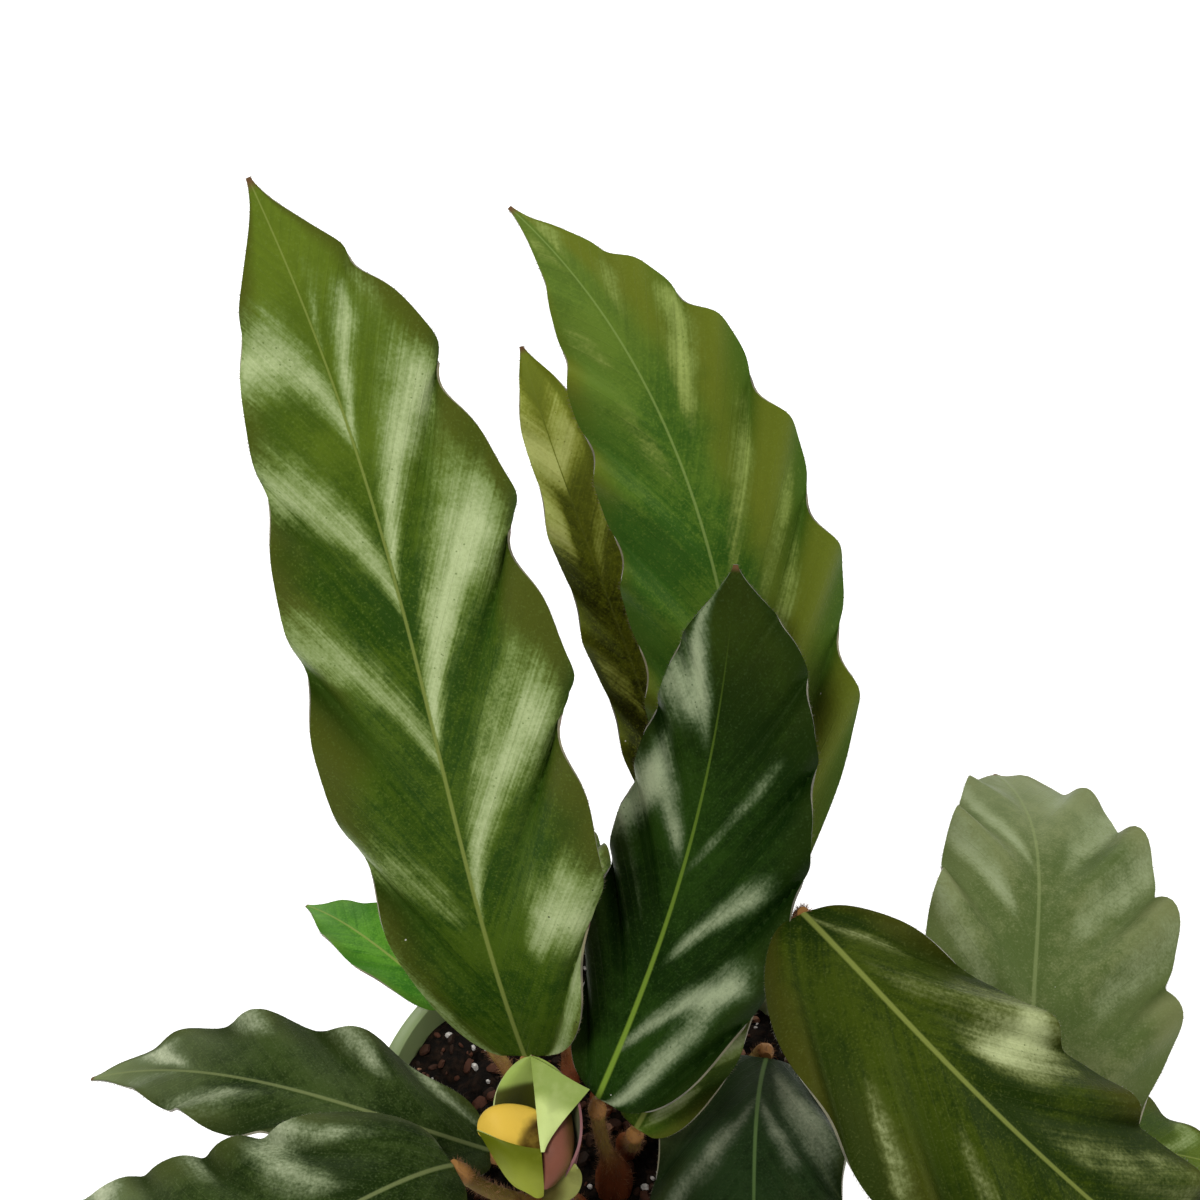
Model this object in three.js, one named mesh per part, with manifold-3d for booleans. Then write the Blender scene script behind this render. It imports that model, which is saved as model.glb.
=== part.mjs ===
// A potted velvet calathea: a plain tapered pot filled with potting mix, and a clump of
// lance-shaped leaves with waved edges, each on its own petiole, round one rolled young leaf.
// Millimetres, +Z up. The origin is the centre of the pot's underside, and -Y is the front.
import * as THREE from 'three';
import { mergeVertices } from 'three/addons/utils/BufferGeometryUtils.js';
import Module from 'manifold-3d';

const wasm = await Module();
wasm.setup();

// Driving dimensions

const POT = {
  height: 112,
  rimRadius: 60, // outer radius at the top edge
  baseRadius: 43,
  wall: 2.4,
  floor: 4,
  lipHeight: 13, // the thicker band below the top edge
  lipStep: 1.6,
  lipDraft: 0.6,
  edgeRound: 1.1,
  sides: 40,
};
const DRAIN = { count: 5, radius: 4, circle: 26, sides: 12 };
const SOIL = {
  belowRim: 6,
  gap: 0.3, // clearance to the pot and round each stem
  mound: 2.4, // how much the middle stands above the edge
  lump: 1.1,
  ripple: [0.31, 0.27], // radians per mm of the lumps along X and Y
  crossRipple: [0.53, 0.47],
  rings: 7,
  sides: 32,
  holeDepth: 16,
  holeSides: 8,
};
const BLADE = {
  thickness: 0.8,
  ribDepth: 1.3, // how far the midrib stands below the blade at its base
  ribTaper: 0.7, // the share of that depth lost by the tip
  ribShare: 1 / 3, // the share of the half width the midrib swells over
  columns: 6,
  jointGap: 0.3,
  stalkRadius: 1.1, // half the blade's width where the petiole meets it
  tipRadius: 0.5,
  bellySkew: 0.8, // below 1 the widest part lies nearer the base
  baseEnd: 0.35, // where a drawn-out base ends
  waveGrowth: 1.3, // how the wave grows from the midrib to the edge
};
const PETIOLE = {
  stem: 1.7,
  joint: 2.2,
  end: 1.2,
  sheathEnd: 0.45, // where along the petiole the sheath ends and the joint begins and is full
  jointStart: 0.8,
  jointFull: 0.92,
  sides: 6,
  rings: 8,
  depth: 14,
  crown: 3.5, // the petioles stand straight up to this height above the mix
  rise: 18,
};
const YOUNG = {
  name: 'young',
  root: [-8, -28],
  sheath: 3,
  pull: [-10, -31, 112],
  midrib: [[-10, -32, 117], [-14, -31, 131], [-17, -27, 145], [-18, -22, 159]],
  radius: [1.8, 8], // of the roll at its base and at its mouth
  wind: [3.5, 2.7], // the turn in radians from the midrib to either edge, at base and mouth
  opened: 0.7, // the share of its length by which the roll reaches its full radius
  closing: 0.85, // below 1 the blade narrows later and its tip is blunter
  flare: [4, 1.5], // how far the left and the right edge bend outwards
  flareFrom: 0.35, // where along the leaf the edges begin to bend out and are fully out
  flareFull: 0.65,
  spiral: 0.4, // how far one edge lies inside the other
  lean: 0.05,
  facing: 280, // the compass direction the mouth opens to
  rows: 14,
  columns: 16,
};

const soilTop = POT.height - SOIL.belowRim;
const crownTop = soilTop + PETIOLE.crown;

// Each leaf: where its petiole stands in the mix (root) and its radius there (sheath), the
// point its upper part bends towards (pull), four points along the midrib from the blade's
// base to its tip, the compass direction in degrees in which the leaf leans (heading, 90 is
// to the back), the turn of the blade about its midrib at base and tip (roll), the left and
// right half width, the fold of the two halves (cup), the downturn of the edges (curl), the
// number and start of the waves on the left and right half, their height, how far they cut
// each edge (scallop) and lean towards the tip (skew), the angle between side veins and
// midrib, where the tip begins to draw out (tipStart) and how far the base draws in (taper).
const USUAL = {
  roll: [0, 0], cup: 0.1, curl: 0.05, skew: 0, veinAngle: 32, tipStart: 0.72, taper: 0,
};
const LEAVES = [
  {
    name: 'back_left',
    root: [-10, -9], sheath: 3.1, pull: [-17, -15, 128],
    midrib: [[-20, -13, 147], [-34, -3, 216], [-47, 15, 279], [-70, 40, 344]],
    heading: 90, roll: [-18, 6], halfWidth: [25, 30], curl: 0.03, waves: [4.3, 4.75],
    waveHeight: 3.5, start: [0.6, 0.04], scallop: [0.04, 0.1], skew: 0.8, veinAngle: 26,
    tipStart: 0.83, rows: 30,
  },
  {
    name: 'back_right',
    root: [16, -4], sheath: 3.1, pull: [33, 31, 132],
    midrib: [[33, 12, 163], [27.5, 34, 229], [10, 54, 283], [-22, 78, 319]],
    heading: 90, roll: [6, 6], halfWidth: [20.5, 26.5], waves: [6, 5.75], waveHeight: 3,
    start: [0.22, 0.78], scallop: [0.06, 0.09], skew: -0.7, veinAngle: 28, taper: 0.3, rows: 30,
  },
  {
    name: 'back_middle',
    root: [-2, 2], sheath: 3.1, pull: [24, 24, 126],
    midrib: [[22, 32, 145], [11, 60, 185], [-6, 79, 230], [-21, 94, 275]],
    heading: 80, roll: [10, 10], halfWidth: [9, 17], cup: 0.15, waves: [4.9, 4.5],
    waveHeight: 3, start: [0.03, 0.5], scallop: [0.1, 0.05], skew: -0.5, tipStart: 0.9,
    taper: 0.6, rows: 24,
  },
  {
    name: 'middle',
    root: [1, -21], sheath: 4.6, pull: [-3, -26, 128],
    midrib: [[-3, -24, 146], [12, -6, 183], [22, 12, 219], [27, 32, 257]],
    heading: 80, roll: [-24, 0], halfWidth: [17.5, 27], cup: 0.04, curl: 0.04,
    waves: [5.4, 4.4], waveHeight: 3, start: [0.09, 0.43], scallop: [0.03, 0.03], skew: 0.8,
    veinAngle: 26, tipStart: 0.85, rows: 26,
  },
  {
    name: 'behind_middle',
    root: [4, -11], sheath: 2.6, pull: [6, -21, 116],
    midrib: [[6, -22, 132], [18, -12, 155], [26, -4, 174], [31, 4, 187]],
    heading: 70, roll: [-6, 0], halfWidth: [12, 13], curl: 0.04, waves: [3, 3],
    waveHeight: 1.5, start: [0.2, 0.6], scallop: [0.03, 0.03], rows: 14,
  },
  {
    name: 'front_right',
    root: [8, -2], sheath: 3.1, pull: [48, 12, 162],
    midrib: [[42, -12, 195], [64, -46, 194], [97, -69, 172], [142, -82, 138]],
    heading: -50, roll: [2, 4], halfWidth: [25, 30], cup: 0.05, curl: 0.15, waves: [5, 5],
    waveHeight: 3.5, start: [0.5, 0.43], scallop: [0.05, 0.04], skew: -0.6, taper: 0.3, rows: 28,
  },
  {
    name: 'right_back',
    root: [17, -31], sheath: 3.1, pull: [95, -48, 112],
    midrib: [[101, -39, 128], [100, -3, 152], [107, 36, 161], [105, 80, 150]],
    heading: 90, roll: [0, 8], halfWidth: [26, 33], waves: [4.1, 4.7], waveHeight: 4.5,
    start: [0.88, 0.83], scallop: [0.03, 0.06], skew: -0.6, veinAngle: 40, tipStart: 0.95,
    rows: 28,
  },
  {
    name: 'left_upper',
    root: [-18, -17], sheath: 2.8, pull: [-22, -28, 122],
    midrib: [[-28, -28, 132], [-59, -27, 147], [-93, -14, 142], [-127, -3, 126]],
    heading: 175, halfWidth: [14.5, 18.5], waves: [3.9, 3.7], waveHeight: 2.8,
    start: [0.31, 0.7], scallop: [0.04, 0.06], skew: -0.2, veinAngle: 34, tipStart: 0.58,
    rows: 20,
  },
  {
    name: 'left_lower',
    root: [-14, -34], sheath: 3.1, pull: [-27, -41, 128],
    midrib: [[-35, -42, 146], [-59, -60, 154], [-91, -66, 145], [-137, -50, 137]],
    heading: 200, halfWidth: [22, 28], cup: 0.05, curl: 0.08, waves: [4, 4.5],
    waveHeight: 1.8, start: [0.3, 0.56], scallop: [0.03, 0.03], skew: 0.3, veinAngle: 34, rows: 22,
  },
  {
    name: 'far_left',
    root: [-19, -5], sheath: 2.4, pull: [-33, 12, 128],
    midrib: [[-41, 16, 133], [-52, 21, 140], [-65, 32, 141], [-79, 44, 137]],
    heading: 140, halfWidth: [8, 11], waves: [2.5, 2.5], waveHeight: 1, start: [0.2, 0.5],
    scallop: [0.02, 0.02], tipStart: 0.65, rows: 12,
  },
  {
    name: 'back_low',
    root: [-10, 4], sheath: 2.6, pull: [-11, 26, 124],
    midrib: [[-12, 34, 127], [-15, 58, 130], [-17, 82, 120], [-16, 104, 101]],
    heading: 95, halfWidth: [16, 16], curl: 0.06, waves: [3.5, 3.5], waveHeight: 2.5,
    start: [0.3, 0.6], scallop: [0.04, 0.04], rows: 16,
  },
  {
    name: 'front_middle',
    root: [22, -14], sheath: 2.8, pull: [41, 18, 120],
    midrib: [[39, 5, 124], [34, -24, 130], [32, -54, 124], [30, -82, 104]],
    heading: -90, halfWidth: [21, 23], cup: 0.05, curl: 0.08, waves: [4.5, 4.5],
    waveHeight: 2.5, start: [0.2, 0.5], scallop: [0.04, 0.04], rows: 20,
  },
  {
    name: 'right_low',
    root: [21, -23], sheath: 2.6, pull: [45, -16, 122],
    midrib: [[60, -14, 119], [95, -11, 116], [130, -8, 106], [164, -5, 91]],
    heading: 5, halfWidth: [19, 19], waves: [4, 4], waveHeight: 2.5, start: [0.2, 0.5],
    scallop: [0.04, 0.04], rows: 20,
  },
  {
    name: 'front_left',
    root: [-7, -37], sheath: 2.8, pull: [-20, -56, 124],
    midrib: [[-28, -64, 126], [-44, -90, 132], [-60, -118, 122], [-74, -142, 98]],
    heading: 238, halfWidth: [20, 20], curl: 0.08, waves: [4, 4], waveHeight: 3,
    start: [0.2, 0.5], scallop: [0.05, 0.05], rows: 20,
  },
  {
    name: 'front_low',
    root: [4, -37], sheath: 2.6, pull: [4, -54, 124],
    midrib: [[4, -66, 124], [5, -92, 125], [4, -118, 112], [2, -140, 88]],
    heading: -90, halfWidth: [17, 17], curl: 0.08, waves: [3.5, 3.5], waveHeight: 2.5,
    start: [0.2, 0.5], scallop: [0.05, 0.05], rows: 18,
  },
].map((leaf) => ({ ...USUAL, ...leaf }));

// Solids

// A closed geometry as a solid that can be joined and cut.
function solidFrom(geometry) {
  const bare = geometry.clone();
  bare.deleteAttribute('normal');
  bare.deleteAttribute('uv');
  const merged = mergeVertices(bare, 1e-3);
  return new wasm.Manifold(new wasm.Mesh({
    numProp: 3,
    vertProperties: new Float32Array(merged.attributes.position.array),
    triVerts: new Uint32Array(merged.index.array),
  }));
}

// A solid back as a geometry.
function geometryFrom(solid) {
  const mesh = solid.getMesh();
  const geometry = new THREE.BufferGeometry();
  geometry.setAttribute('position', new THREE.BufferAttribute(new Float32Array(mesh.vertProperties), 3));
  geometry.setIndex(new THREE.BufferAttribute(new Uint32Array(mesh.triVerts), 1));
  geometry.computeVertexNormals();
  return geometry;
}

// A closed thin solid over a grid. pointsAt(row, column) gives the upper and the lower point,
// with row from 0 to 1 and column from -1 to 1. Both faces are split into triangles alike,
// with each cut running outwards and forwards, as the side veins do.
function sheetGeometry(rows, columns, pointsAt) {
  const positions = [];
  for (const face of [0, 1]) {
    for (let i = 0; i <= rows; i++) {
      for (let j = 0; j <= columns; j++) {
        positions.push(...pointsAt(i / rows, (2 * j) / columns - 1)[face].toArray());
      }
    }
  }
  const lower = (rows + 1) * (columns + 1);
  const at = (i, j) => i * (columns + 1) + j;
  const index = [];
  const bothFaces = (a, b, c) => index.push(a, b, c, lower + a, lower + c, lower + b);
  const wall = (a, b) => index.push(a, lower + a, lower + b, a, lower + b, b);
  for (let i = 0; i < rows; i++) {
    for (let j = 0; j < columns; j++) {
      const [near, ahead, aheadOut, out] = [at(i, j), at(i + 1, j), at(i + 1, j + 1), at(i, j + 1)];
      if (j >= columns / 2) {
        bothFaces(near, ahead, aheadOut);
        bothFaces(near, aheadOut, out);
      } else {
        bothFaces(near, ahead, out);
        bothFaces(ahead, aheadOut, out);
      }
    }
    wall(at(i, 0), at(i + 1, 0));
    wall(at(i + 1, columns), at(i, columns));
  }
  for (let j = 0; j < columns; j++) {
    wall(at(0, j + 1), at(0, j));
    wall(at(rows, j), at(rows, j + 1));
  }
  const geometry = new THREE.BufferGeometry();
  geometry.setAttribute('position', new THREE.Float32BufferAttribute(positions, 3));
  geometry.setIndex(index);
  geometry.computeVertexNormals();
  return geometry;
}

// Leaf blades

// The smooth curve through four points spaced evenly along it.
function curveThrough(points) {
  const [first, second, third, last] = points.map((p) => new THREE.Vector3(...p));
  const handle = (near, after, beyond, far) => near.clone().multiplyScalar(-5 / 6)
    .addScaledVector(after, 3).addScaledVector(beyond, -1.5).addScaledVector(far, 1 / 3);
  return new THREE.CubicBezierCurve3(
    first,
    handle(first, second, third, last),
    handle(last, third, second, first),
    last,
  );
}

// How wide the blade is at s, from 0 at its base to 1 at its tip, as a share of its widest:
// a rounded base, which taper draws in, a long belly and a tip drawn out to a point.
function outlineAt(leaf, s) {
  const belly = Math.sqrt(Math.max(0, Math.sin(Math.PI * s ** BLADE.bellySkew)));
  const drawnOut = Math.max(0, (s - leaf.tipStart) / (1 - leaf.tipStart));
  const drawnIn = Math.max(0, 1 - s / BLADE.baseEnd);
  return belly * (1 - drawnOut ** 2) * (1 - leaf.taper * drawnIn ** 2);
}

// Tangent, left side and upper normal of the blade at s.
function bladeFrame(leaf, curve, s) {
  const along = curve.getTangentAt(s);
  const heading = THREE.MathUtils.degToRad(leaf.heading);
  const left = new THREE.Vector3(-Math.sin(heading), Math.cos(heading), 0);
  left.addScaledVector(along, -left.dot(along)).normalize();
  left.applyAxisAngle(along, THREE.MathUtils.degToRad(THREE.MathUtils.lerp(...leaf.roll, s)));
  const up = new THREE.Vector3().crossVectors(along, left);
  return { along, left, up };
}

// The upper and lower point of a blade, with a wave that follows the side veins.
function bladePoints(leaf, curve, length, row, column) {
  const s = row - Math.sin(2 * Math.PI * row) / (8 * Math.PI);
  const { left, up } = bladeFrame(leaf, curve, s);
  const outward = Math.abs(column);
  const half = column > 0 ? 0 : 1;
  const share = outlineAt(leaf, s);
  const stalk = THREE.MathUtils.lerp(BLADE.stalkRadius, BLADE.tipRadius, s);
  const width = leaf.halfWidth[half] * share;
  const veinRun = (outward * width) / Math.tan(THREE.MathUtils.degToRad(leaf.veinAngle));
  const even = 2 * Math.PI * (leaf.waves[half] * (s - veinRun / length) + leaf.start[half]);
  const phase = even + leaf.skew * (Math.cos(even) - 1);
  const reach = width * (1 + leaf.scallop[half] * outward * Math.cos(phase)) + stalk * (1 - share);
  const lift = leaf.cup * outward * width - leaf.curl * outward ** 2 * width
    + leaf.waveHeight * outward ** BLADE.waveGrowth * share * Math.sin(phase);
  const upper = curve.getPointAt(s).addScaledVector(left, column * reach).addScaledVector(up, lift);
  const rib = BLADE.ribDepth * (1 - BLADE.ribTaper * s) * Math.max(0, 1 - outward / BLADE.ribShare);
  return [upper, upper.clone().addScaledVector(up, -BLADE.thickness - rib)];
}

function bladeGeometry(leaf) {
  const curve = curveThrough(leaf.midrib);
  const length = curve.getLength();
  return sheetGeometry(leaf.rows, BLADE.columns, (row, column) =>
    bladePoints(leaf, curve, length, row, column));
}

// The inner and outer point of the young leaf, wound about a line beside its midrib.
function youngPoints(curve, row, column) {
  const share = THREE.MathUtils.smoothstep(row, 0, YOUNG.opened);
  const narrowed = 1 - row ** 3;
  const flare = YOUNG.flare[column > 0 ? 0 : 1] * Math.sqrt(narrowed) * column ** 4
    * THREE.MathUtils.smoothstep(row, YOUNG.flareFrom, YOUNG.flareFull);
  const rolled = THREE.MathUtils.lerp(...YOUNG.radius, share) * (1 - YOUNG.spiral * column * (1 - row));
  const radius = rolled + flare;
  const closing = narrowed ** YOUNG.closing;
  const turn = column * (THREE.MathUtils.lerp(...YOUNG.wind, share) * closing + YOUNG.lean);
  const facing = THREE.MathUtils.degToRad(YOUNG.facing);
  const along = curve.getTangentAt(row);
  const mouth = new THREE.Vector3(Math.cos(facing), Math.sin(facing), 0);
  mouth.addScaledVector(along, -mouth.dot(along)).normalize();
  const side = new THREE.Vector3().crossVectors(mouth, along);
  const middle = curve.getPointAt(row).addScaledVector(mouth, THREE.MathUtils.lerp(...YOUNG.radius, share));
  const outward = mouth.clone().multiplyScalar(-Math.cos(turn)).addScaledVector(side, Math.sin(turn));
  return [radius - BLADE.thickness, radius].map((r) => middle.clone().addScaledVector(outward, r));
}

function youngGeometry() {
  const curve = curveThrough(YOUNG.midrib);
  return sheetGeometry(YOUNG.rows, YOUNG.columns, (row, column) => youngPoints(curve, row, column));
}

// Petioles

// The stalk's radius at s, from 0 at the mix to 1 at the blade: a clasping sheath, a slim
// stem, and the swollen joint below the blade.
function petioleRadius(sheath, s) {
  const { stem, joint, end, sheathEnd, jointStart, jointFull } = PETIOLE;
  const { lerp, smoothstep } = THREE.MathUtils;
  if (s < sheathEnd) return lerp(sheath, stem, smoothstep(s, 0, sheathEnd));
  if (s < jointStart) return stem;
  if (s < jointFull) return lerp(stem, joint, smoothstep(s, jointStart, jointFull));
  return lerp(joint, end, (s - jointFull) / (1 - jointFull));
}

// The petiole's line: straight up out of the mix, then over to meet the midrib.
function petioleCurve(leaf) {
  const midrib = curveThrough(leaf.midrib);
  const along = midrib.getTangentAt(0);
  const end = midrib.getPointAt(0).addScaledVector(along, -BLADE.jointGap);
  const foot = new THREE.Vector3(...leaf.root, crownTop);
  const span = foot.distanceTo(end);
  return new THREE.CubicBezierCurve3(
    foot,
    foot.clone().add(new THREE.Vector3(0, 0, Math.min(0.35 * span, PETIOLE.rise))),
    new THREE.Vector3(...leaf.pull),
    end,
  );
}

// A closed round tube through rings of the given centres, directions and radii.
function tubeGeometry(rings, sides) {
  const geometry = new THREE.CylinderGeometry(1, 1, 1, sides, rings.length - 1);
  const position = geometry.attributes.position;
  const point = new THREE.Vector3();
  for (let i = 0; i < position.count; i++) {
    point.fromBufferAttribute(position, i);
    const ring = rings[Math.round((point.y + 0.5) * (rings.length - 1))];
    const spot = ring.centre.clone()
      .addScaledVector(ring.left, point.x * ring.radius)
      .addScaledVector(ring.up, -point.z * ring.radius);
    position.setXYZ(i, spot.x, spot.y, spot.z);
  }
  geometry.computeVertexNormals();
  return geometry;
}

function petioleGeometry(leaf) {
  const curve = petioleCurve(leaf);
  const buried = {
    centre: new THREE.Vector3(...leaf.root, soilTop - PETIOLE.depth),
    along: new THREE.Vector3(0, 0, 1),
    radius: leaf.sheath,
  };
  const rings = [buried];
  for (let i = 0; i <= PETIOLE.rings; i++) {
    const s = i / PETIOLE.rings;
    const radius = petioleRadius(leaf.sheath, s);
    rings.push({ centre: curve.getPointAt(s), along: curve.getTangentAt(s), radius });
  }
  rings.at(-1).along = curveThrough(leaf.midrib).getTangentAt(0);
  let left = new THREE.Vector3(1, 0, 0);
  for (const ring of rings) {
    left = left.clone().addScaledVector(ring.along, -left.dot(ring.along)).normalize();
    ring.left = left;
    ring.up = new THREE.Vector3().crossVectors(ring.along, left);
  }
  return tubeGeometry(rings, PETIOLE.sides);
}

// Pot and potting mix

function potGeometry() {
  const { height, rimRadius, baseRadius, wall, floor, lipHeight, lipStep, lipDraft, edgeRound } = POT;
  const bodyRadius = (z) => THREE.MathUtils.lerp(baseRadius, rimRadius - lipStep, z / height);
  const profile = [
    [0, 0],
    [baseRadius - edgeRound, 0],
    [baseRadius, edgeRound],
    [bodyRadius(height - lipHeight - lipStep), height - lipHeight - lipStep],
    [rimRadius - lipDraft, height - lipHeight],
    [rimRadius, height - edgeRound],
    [rimRadius - edgeRound, height],
    [rimRadius - lipStep - wall + edgeRound, height],
    [rimRadius - lipStep - wall, height - edgeRound],
    [baseRadius - wall, floor],
    [0, floor],
  ];
  const turned = new THREE.LatheGeometry(profile.map(([r, z]) => new THREE.Vector2(r, z)), POT.sides);
  turned.rotateX(Math.PI / 2);
  let solid = solidFrom(turned);
  for (let i = 0; i < DRAIN.count; i++) {
    const angle = (2 * Math.PI * i) / DRAIN.count;
    const bore = new THREE.CylinderGeometry(DRAIN.radius, DRAIN.radius, 4 * floor, DRAIN.sides);
    bore.rotateX(Math.PI / 2);
    bore.translate(DRAIN.circle * Math.cos(angle), DRAIN.circle * Math.sin(angle), floor);
    solid = solid.subtract(solidFrom(bore));
  }
  return geometryFrom(solid);
}

// The height of the potting mix: a low mound with lumps.
function soilHeight(x, y) {
  const edge = POT.rimRadius - POT.lipStep - POT.wall;
  const out = Math.min(1, Math.hypot(x, y) / edge);
  const { ripple, crossRipple } = SOIL;
  const lumps = Math.sin(ripple[0] * x + 1.7) * Math.cos(ripple[1] * y + 0.4)
    + 0.6 * Math.sin(crossRipple[0] * x - crossRipple[1] * y);
  return soilTop + SOIL.mound * (0.5 - out ** 2) + SOIL.lump * lumps;
}

function soilGeometry(leaves) {
  const { gap, rings, sides } = SOIL;
  const bottom = POT.floor + gap;
  const innerTop = POT.rimRadius - POT.lipStep - POT.wall;
  const innerBottom = POT.baseRadius - POT.wall;
  const innerRadius = (z) => THREE.MathUtils.mapLinear(
    z, POT.floor, POT.height - POT.edgeRound, innerBottom, innerTop);
  const across = Math.cos(Math.PI / POT.sides);
  const profile = [[0, bottom], [innerRadius(bottom) * across - gap, bottom]];
  for (let i = rings; i >= 0; i--) {
    profile.push([(i / rings) * (innerRadius(soilTop - SOIL.mound) * across - gap), soilTop]);
  }
  const turned = new THREE.LatheGeometry(profile.map(([r, z]) => new THREE.Vector2(r, z)), sides);
  turned.rotateX(Math.PI / 2);
  const position = turned.attributes.position;
  for (let i = 0; i < position.count; i++) {
    if (position.getZ(i) > soilTop / 2) {
      position.setZ(i, soilHeight(position.getX(i), position.getY(i)));
    }
  }
  let solid = solidFrom(turned);
  for (const leaf of leaves) {
    const radius = leaf.sheath / Math.cos(Math.PI / SOIL.holeSides) + gap;
    const hole = new THREE.CylinderGeometry(radius, radius, 2 * SOIL.holeDepth, SOIL.holeSides);
    hole.rotateX(Math.PI / 2);
    hole.translate(...leaf.root, soilTop);
    solid = solid.subtract(solidFrom(hole));
  }
  return geometryFrom(solid);
}

// Assembly

const material = (color, roughness) => new THREE.MeshStandardMaterial({ color, roughness, metalness: 0 });
const FINISH = {
  pot: material(0x80916b, 0.45),
  soil: material(0x1d1410, 0.95),
  blade: material(0x35501f, 0.45),
  young: material(0x8aa83c, 0.5),
  petiole: material(0x6b3a22, 0.7),
};

const plant = new THREE.Group();
function add(name, geometry, finish) {
  const mesh = new THREE.Mesh(geometry, finish);
  mesh.name = name;
  plant.add(mesh);
}

add('pot', potGeometry(), FINISH.pot);
add('potting_mix', soilGeometry([...LEAVES, YOUNG]), FINISH.soil);
for (const leaf of LEAVES) {
  add(`blade_${leaf.name}`, bladeGeometry(leaf), FINISH.blade);
  add(`petiole_${leaf.name}`, petioleGeometry(leaf), FINISH.petiole);
}
add('blade_young', youngGeometry(), FINISH.young);
add('petiole_young', petioleGeometry(YOUNG), FINISH.petiole);

export default plant;
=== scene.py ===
"""Looks of a potted velvet calathea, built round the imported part.

Sizes are held in millimetres and become metres where a mesh is made. +Z is up and -Y is the front.
"""

import logging
import math
from dataclasses import dataclass
from enum import Enum
from typing import Union

import bpy
import numpy as np
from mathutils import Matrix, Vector, noise


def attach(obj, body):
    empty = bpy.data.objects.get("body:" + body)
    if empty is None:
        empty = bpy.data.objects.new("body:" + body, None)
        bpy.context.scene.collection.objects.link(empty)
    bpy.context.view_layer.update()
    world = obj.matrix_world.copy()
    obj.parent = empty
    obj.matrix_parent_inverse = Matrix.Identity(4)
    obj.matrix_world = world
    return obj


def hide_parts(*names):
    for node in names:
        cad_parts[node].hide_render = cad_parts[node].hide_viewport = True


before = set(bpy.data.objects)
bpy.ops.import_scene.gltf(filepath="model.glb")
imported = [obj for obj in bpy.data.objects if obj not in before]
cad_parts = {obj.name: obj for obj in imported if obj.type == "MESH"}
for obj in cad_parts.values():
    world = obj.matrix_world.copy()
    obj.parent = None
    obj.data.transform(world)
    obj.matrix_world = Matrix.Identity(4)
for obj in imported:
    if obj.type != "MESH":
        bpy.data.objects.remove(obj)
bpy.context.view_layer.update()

log = logging.getLogger("calathea")

MM = 0.001
BODY = "root"
SEED = 11

# Millimetres from one side vein of a leaf to the next
VEIN_SPACING = 4.2

Point = tuple[float, float, float]
Colour = tuple[float, float, float]
Pair = tuple[float, float]
Value = Union[float, Colour, bpy.types.NodeSocket]
Array = np.ndarray


# Small helpers for numbers and meshes


def unit(vectors: Array) -> Array:
    """Vectors scaled to length one, along the last axis."""
    return vectors / np.linalg.norm(vectors, axis=-1, keepdims=True)


def lerp(ends: Pair, share: Array) -> Array:
    """The value a share of the way from the first end to the second."""
    return ends[0] + (ends[1] - ends[0]) * share


def smooth(value: Array, low: float, high: float) -> Array:
    """A soft step from 0 at low to 1 at high."""
    share = np.clip((value - low) / (high - low), 0.0, 1.0)
    return share * share * (3.0 - 2.0 * share)


def dimmed(colour: Colour, share: float) -> Colour:
    """A colour with each channel at a share of its strength."""
    return tuple(share * channel for channel in colour)


def clear_selection() -> None:
    """Leaves object mode with nothing selected."""
    if bpy.context.object and bpy.context.object.mode != "OBJECT":
        bpy.ops.object.mode_set(mode="OBJECT")
    bpy.ops.object.select_all(action="DESELECT")


def take(piece: bpy.types.Object) -> None:
    """Makes one piece the only selected and the active one.

    Args:
        piece: The piece.
    """
    clear_selection()
    piece.select_set(True)
    bpy.context.view_layer.objects.active = piece


def new_sheet(name: str, rows: int, columns: int) -> bpy.types.Object:
    """Adds a flat grid from -1 to 1 that a formula then shapes.

    Args:
        name: The piece's name.
        rows: Faces along X.
        columns: Faces along Y.

    Returns:
        The new piece.
    """
    clear_selection()
    bpy.ops.mesh.primitive_grid_add(x_subdivisions=rows, y_subdivisions=columns, size=2.0)
    sheet = bpy.context.object
    sheet.name = name
    sheet.data.name = name
    return sheet


def points_of(piece: bpy.types.Object) -> Array:
    """The piece's vertices.

    Args:
        piece: The piece.

    Returns:
        One row of three for each vertex.
    """
    flat = np.zeros(len(piece.data.vertices) * 3)
    piece.data.vertices.foreach_get("co", flat)
    return flat.reshape(-1, 3)


def move_points(piece: bpy.types.Object, points: Array) -> None:
    """Puts the piece's vertices at these points, in metres."""
    piece.data.vertices.foreach_set("co", np.ascontiguousarray(points).ravel())
    piece.data.update()


def write_attribute(piece: bpy.types.Object, name: str, values: Array) -> None:
    """Keeps one number at each vertex for the materials to read."""
    attribute = piece.data.attributes.new(name, "FLOAT", "POINT")
    attribute.data.foreach_set("value", np.ascontiguousarray(values, dtype=np.float32))


def apply_modifier(piece: bpy.types.Object, kind: str, **settings: object) -> None:
    """Adds one modifier and applies it.

    Args:
        piece: The piece that it shapes.
        kind: Blender's name for the modifier's type.
        settings: The modifier's own values.
    """
    take(piece)
    modifier = piece.modifiers.new(kind.title(), kind)
    for key, value in settings.items():
        setattr(modifier, key, value)
    bpy.ops.object.modifier_apply(modifier=modifier.name)


def thicken(piece: bpy.types.Object, thickness: float, rim_material: int) -> None:
    """Gives a sheet its thickness below its face, with its second material on the lower face.

    Args:
        piece: The sheet.
        thickness: Its thickness in millimetres.
        rim_material: Which of its materials the rim takes.
    """
    apply_modifier(
        piece, "SOLIDIFY", thickness=thickness * MM, offset=-1.0,
        material_offset=1, material_offset_rim=rim_material,
    )


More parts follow.
